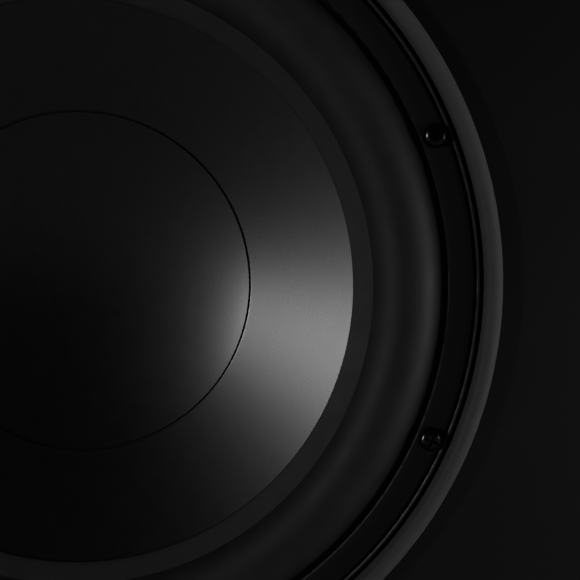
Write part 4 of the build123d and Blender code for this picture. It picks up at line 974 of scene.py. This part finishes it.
knob_plastic = grained(
    material("satin_moulded_abs_knobs", "1c1c1d", Roughness=0.38, IOR=1.53),
    size=0.5, depth=0.006, rough=(0.34, 0.44), patch=2.5,
)
wear(knob_plastic, "level_knob", "crossover_knob", "phase_slider", "mode_slider")
white_paint = grained(
    material("screen_printed_white_ink", "d6d6d2", Roughness=0.6),
    size=0.3, depth=0.004, colours=("cacac6", "e0e0dc"), patch=1.5,
)

plate_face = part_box("amp_plate")[1].y
ink_height = 0.00004
scale_inner = 0.0118
scale_outer = 0.0146
scale_marks = 11
long_line = 0.0007
short_line = 0.00045
scale_sweep = math.radians(300)
pointer_width = 0.0011
pointer_sunk = 0.0005
pointer_height = 0.00042


def flat_shape(shape, outline, back, height):
    """Raise an outline of (x, z) points from a plane that faces the back."""
    low = [shape.verts.new((x, back, z)) for x, z in outline]
    high = [shape.verts.new((x, back + height, z)) for x, z in outline]
    count = len(outline)
    shape.faces.new(low)
    shape.faces.new(list(reversed(high)))
    for place in range(count):
        beyond = (place + 1) % count
        shape.faces.new((low[place], high[place], high[beyond], low[beyond]))


def bar_outline(start, end, width, rounding=6):
    """Outline of a bar with round ends between two (x, z) points."""
    along = math.atan2(end[1] - start[1], end[0] - start[0])
    outline = []
    for middle, first in ((end, -90), (start, 90)):
        for step in range(rounding + 1):
            turn = along + math.radians(first + 180 * step / rounding)
            outline.append((middle[0] + width / 2 * math.cos(turn), middle[1] + width / 2 * math.sin(turn)))
    return outline


def ring_shape(shape, middle, inner, outer, back, height, steps=48):
    """Raise a flat ring about an (x, z) point."""
    rims = []
    for radius, place in ((inner, back), (outer, back), (outer, back + height), (inner, back + height)):
        rims.append([
            shape.verts.new((middle[0] + radius * math.cos(2 * math.pi * step / steps), place,
                             middle[1] + radius * math.sin(2 * math.pi * step / steps)))
            for step in range(steps)
        ])
    for rim, following in zip(rims, rims[1:] + rims[:1]):
        for step in range(steps):
            beyond = (step + 1) % steps
            shape.faces.new((rim[step], rim[beyond], following[beyond], following[step]))


def built(shape, name):
    """Turn a bmesh into a mesh with its faces outwards."""
    bmesh.ops.recalc_face_normals(shape, faces=shape.faces)
    mesh = bpy.data.meshes.new(name)
    shape.to_mesh(mesh)
    shape.free()
    return mesh


for name, knob, body in (("level", "level_knob", "level_dial"),
                         ("crossover", "crossover_knob", "crossover_dial")):
    knob_low, knob_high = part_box(knob)
    middle = ((knob_low.x + knob_high.x) / 2, (knob_low.z + knob_high.z) / 2)
    knob_radius = (knob_high.x - knob_low.x) / 2
    scale = bmesh.new()
    for mark in range(scale_marks):
        turn = math.pi / 2 + scale_sweep / 2 - scale_sweep * mark / (scale_marks - 1)
        reach = scale_outer if mark % 5 == 0 else scale_outer - 0.001
        ends = [(middle[0] + radius * math.cos(turn), middle[1] + radius * math.sin(turn))
                for radius in (scale_inner, reach)]
        width = long_line if mark % 5 == 0 else short_line
        flat_shape(scale, bar_outline(ends[0], ends[1], width), plate_face, ink_height)
    piece(name + "_scale", built(scale, name + "_scale"), white_paint, "knob_plastic", "cabinet",
          smooth=False)
    pointer = bmesh.new()
    reach = 0.225 * knob_radius
    foot = (middle[0], middle[1] + 0.55 * knob_radius - reach)
    tip = (middle[0], middle[1] + 0.55 * knob_radius + reach)
    flat_shape(pointer, bar_outline(foot, tip, pointer_width), knob_high.y - pointer_sunk,
               pointer_height)
    piece(name + "_pointer", built(pointer, name + "_pointer"), white_paint, "knob_plastic", body,
          smooth=False)

# --------------------------------------
# Screen print on the plate. One thin white frame groups the phono sockets, one
# the speaker socket, and dots mark the two places of each slide switch.
# --------------------------------------

insert_low, insert_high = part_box("phono_inserts")
socket_low, socket_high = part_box("speaker_input")
frame_margin = 0.0045
frame_line = 0.0004
printed = bmesh.new()
for low, high in ((insert_low, insert_high), (socket_low, socket_high)):
    left, right = low.x - frame_margin, high.x + frame_margin
    foot, head = low.z - frame_margin, high.z + frame_margin
    corners = [(left, foot), (right, foot), (right, head), (left, head)]
    for first, second in zip(corners, corners[1:] + corners[:1]):
        flat_shape(printed, bar_outline(first, second, frame_line), plate_face, ink_height)
for slider in ("phase_slider", "mode_slider"):
    slider_low, slider_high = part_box(slider)
    for across in (slider_low.x, slider_high.x + 0.003):
        ring_shape(printed, (across, slider_high.z + 0.004), 0.0003, 0.0008, plate_face, ink_height, 20)
light_low, light_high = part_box("status_light")
ring_shape(printed, ((light_low.x + light_high.x) / 2, (light_low.z + light_high.z) / 2),
           0.0040, 0.0044, plate_face, ink_height)
piece("plate_print", built(printed, "plate_print"), white_paint, "powder_coated_plate", "cabinet",
      smooth=False)

# --------------------------------------
# Phono sockets. Nickel-plated turned brass shells round plastic inserts; the
# inserts are red for the right channel and white for the left.
# --------------------------------------

nickel = grained(
    material("nickel_plated_brass", "c9c2b4", Metallic=1.0, Roughness=0.22),
    size=0.3, depth=0.003, rough=(0.18, 0.28), squeeze=(1, 6, 1),
)
wear(nickel, "phono_shells", "inlet_pins")

socket_pitch = 0.020
insert_plastic = material("moulded_polypropylene_inserts", "b02420", Roughness=0.38, IOR=1.5)
insert_tree = insert_plastic.node_tree
insert_place = add(insert_tree, "ShaderNodeTexCoord").outputs["Object"]
insert_parts = add(insert_tree, "ShaderNodeSeparateXYZ", {"Vector": insert_place})
insert_shift = add(insert_tree, "ShaderNodeMath", {
    0: insert_parts.outputs["X"], 1: insert_low.x + (insert_high.x - insert_low.x) / 2 - 2 * socket_pitch,
}, operation="SUBTRACT")
insert_pairs = add(insert_tree, "ShaderNodeMath", {0: insert_shift.outputs[0], 1: 2 * socket_pitch},
                   operation="DIVIDE")
insert_share = add(insert_tree, "ShaderNodeMath", {0: insert_pairs.outputs[0]}, operation="FRACT")
insert_tint = add(insert_tree, "ShaderNodeValToRGB", {"Fac": insert_share.outputs[0]})
insert_tint.color_ramp.interpolation = "CONSTANT"
insert_tint.color_ramp.elements[0].color = linear("a8201c")
insert_tint.color_ramp.elements[1].position = 0.5
insert_tint.color_ramp.elements[1].color = linear("d8d6d0")
insert_tree.links.new(insert_tint.outputs["Color"],
                      insert_tree.nodes["Principled BSDF"].inputs["Base Color"])
grained(insert_plastic, size=0.4, depth=0.006, rough=(0.34, 0.44))
wear(insert_plastic, "phono_inserts")

# --------------------------------------
# Mains module. One glass-filled nylon moulding with the rocker switch, inlet
# and fuse drawer snapped in: black, slightly shiny, with faint flow marks.
# --------------------------------------

nylon = grained(
    material("moulded_glass_filled_nylon", "171718", Roughness=0.4, IOR=1.53),
    size=0.6, depth=0.012, rough=(0.34, 0.48), patch=7.0,
)
wear(nylon, "mains_module", "power_rocker", "fuse_drawer")

module_low, module_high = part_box("mains_module")
rocker_low, rocker_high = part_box("power_rocker")
rocker_tilt = math.radians(10)
rocker_pivot = Vector(((module_low.x + module_high.x) / 2, module_high.y - 0.005,
                       (rocker_low.z + rocker_high.z) / 2))
pad_rise = math.atan2(0.0018, 0.013)
mark_reach = 0.0065
mark_size = 0.0016
mark_line = 0.0005
face_height = 0.0054


def on_rocker(shape, side):
    """Lay marks drawn about the origin on one of the rocker's two sloping faces."""
    face_tilt = rocker_tilt + side * pad_rise
    seat = Vector((side * mark_reach, face_height + abs(mark_reach) * math.tan(pad_rise), 0))
    turn = Matrix.Rotation(rocker_tilt, 4, "Z")
    place = Matrix.Translation(rocker_pivot + turn @ seat) @ Matrix.Rotation(face_tilt, 4, "Z")
    shape.transform(place)


on_mark, off_mark = bmesh.new(), bmesh.new()
flat_shape(on_mark, bar_outline((0, -mark_size), (0, mark_size), mark_line), 0, ink_height)
on_rocker(on_mark, 1)
ring_shape(off_mark, (0, 0), mark_size - mark_line, mark_size, 0, ink_height, 32)
on_rocker(off_mark, -1)
for name, marks in (("rocker_on_mark", on_mark), ("rocker_off_mark", off_mark)):
    piece(name, built(marks, name), white_paint, "mains_nylon", "rocker", smooth=False)

# --------------------------------------
# Fuse. A glass tube 20 mm long with nickel-plated brass caps crimped on its
# ends and a thin tinned wire from cap to cap.
# --------------------------------------

fuse_low, fuse_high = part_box("fuse")
fuse_middle = (fuse_low + fuse_high) / 2
fuse_radius = (fuse_high.z - fuse_low.z) / 2
fuse_half = (fuse_high.x - fuse_low.x) / 2
cap_length = 0.0055
glass_wall = 0.0006
rim_wall = 0.0002
end_wall = 0.0008
rim_round = 0.0003

glass = grained(
    material("drawn_fuse_glass", "e8efee", Roughness=0.04, IOR=1.5, Transmission_Weight=0.9),
    size=3.0, depth=0.002,
)
along_x = Matrix.Translation(fuse_middle) @ Matrix.Rotation(math.radians(-90), 4, "Z")
tube_outline = [
    (fuse_radius - rim_wall - wall_depth, end * (fuse_half - 0.001))
    for wall_depth, end in ((0, -1), (0, 1), (glass_wall, 1), (glass_wall, -1))
]
glass_mesh = lathe("fuse_tube", tube_outline, 0.0, 48)
glass_mesh.transform(along_x)
piece("fuse_tube", glass_mesh, glass, "fuse_glass", "fuse_carrier", "fuse")
fuse_metal = bmesh.new()
for end in (-1, 1):
    rim = fuse_radius - rim_wall
    cap_outline = [
        (0.0, end * fuse_half), (fuse_radius - rim_round, end * fuse_half),
        (fuse_radius, end * (fuse_half - rim_round)), (fuse_radius, end * (fuse_half - cap_length)),
        (rim, end * (fuse_half - cap_length)), (rim, end * (fuse_half - end_wall)),
        (0.0, end * (fuse_half - end_wall)),
    ]
    cap_mesh = lathe("fuse_cap", cap_outline, 0.0, 48)
    fuse_metal.from_mesh(cap_mesh)
    bpy.data.meshes.remove(cap_mesh)
tube(fuse_metal, [Vector((0, -fuse_half + end_wall, 0)), Vector((0.0003, 0, 0.0002)),
                  Vector((0, fuse_half - end_wall, 0))], 0.0001)
bmesh.ops.remove_doubles(fuse_metal, verts=fuse_metal.verts, dist=0.000001)
fuse_metal.transform(along_x)
piece("fuse_caps", built(fuse_metal, "fuse_caps"), nickel, "nickel_plate", "fuse_carrier", "fuse",
      smooth=False)

# --------------------------------------
# Status light. A clear blue-tinted acrylic light pipe with a domed end; it
# glows faintly from the diode behind it.
# --------------------------------------

lens = grained(
    material("moulded_tinted_acrylic", "2d6fc0", Roughness=0.12, IOR=1.49, Coat_Weight=0.5,
             Emission_Color=linear("3f8cff"), Emission_Strength=0.25),
    size=2.0, depth=0.003, rough=(0.1, 0.16),
)
wear(lens, "status_light")

# --------------------------------------
# Feet. Moulded rubber with a steel screw up the middle: dull black, with small
# paler patches.
# --------------------------------------

foot_rubber = grained(
    material("moulded_rubber_feet", "202021", Roughness=0.72),
    size=0.7, depth=0.03, colours=("1a1a1b", "29292a"), rough=(0.66, 0.8), patch=6.0,
)
wear(foot_rubber, "feet")
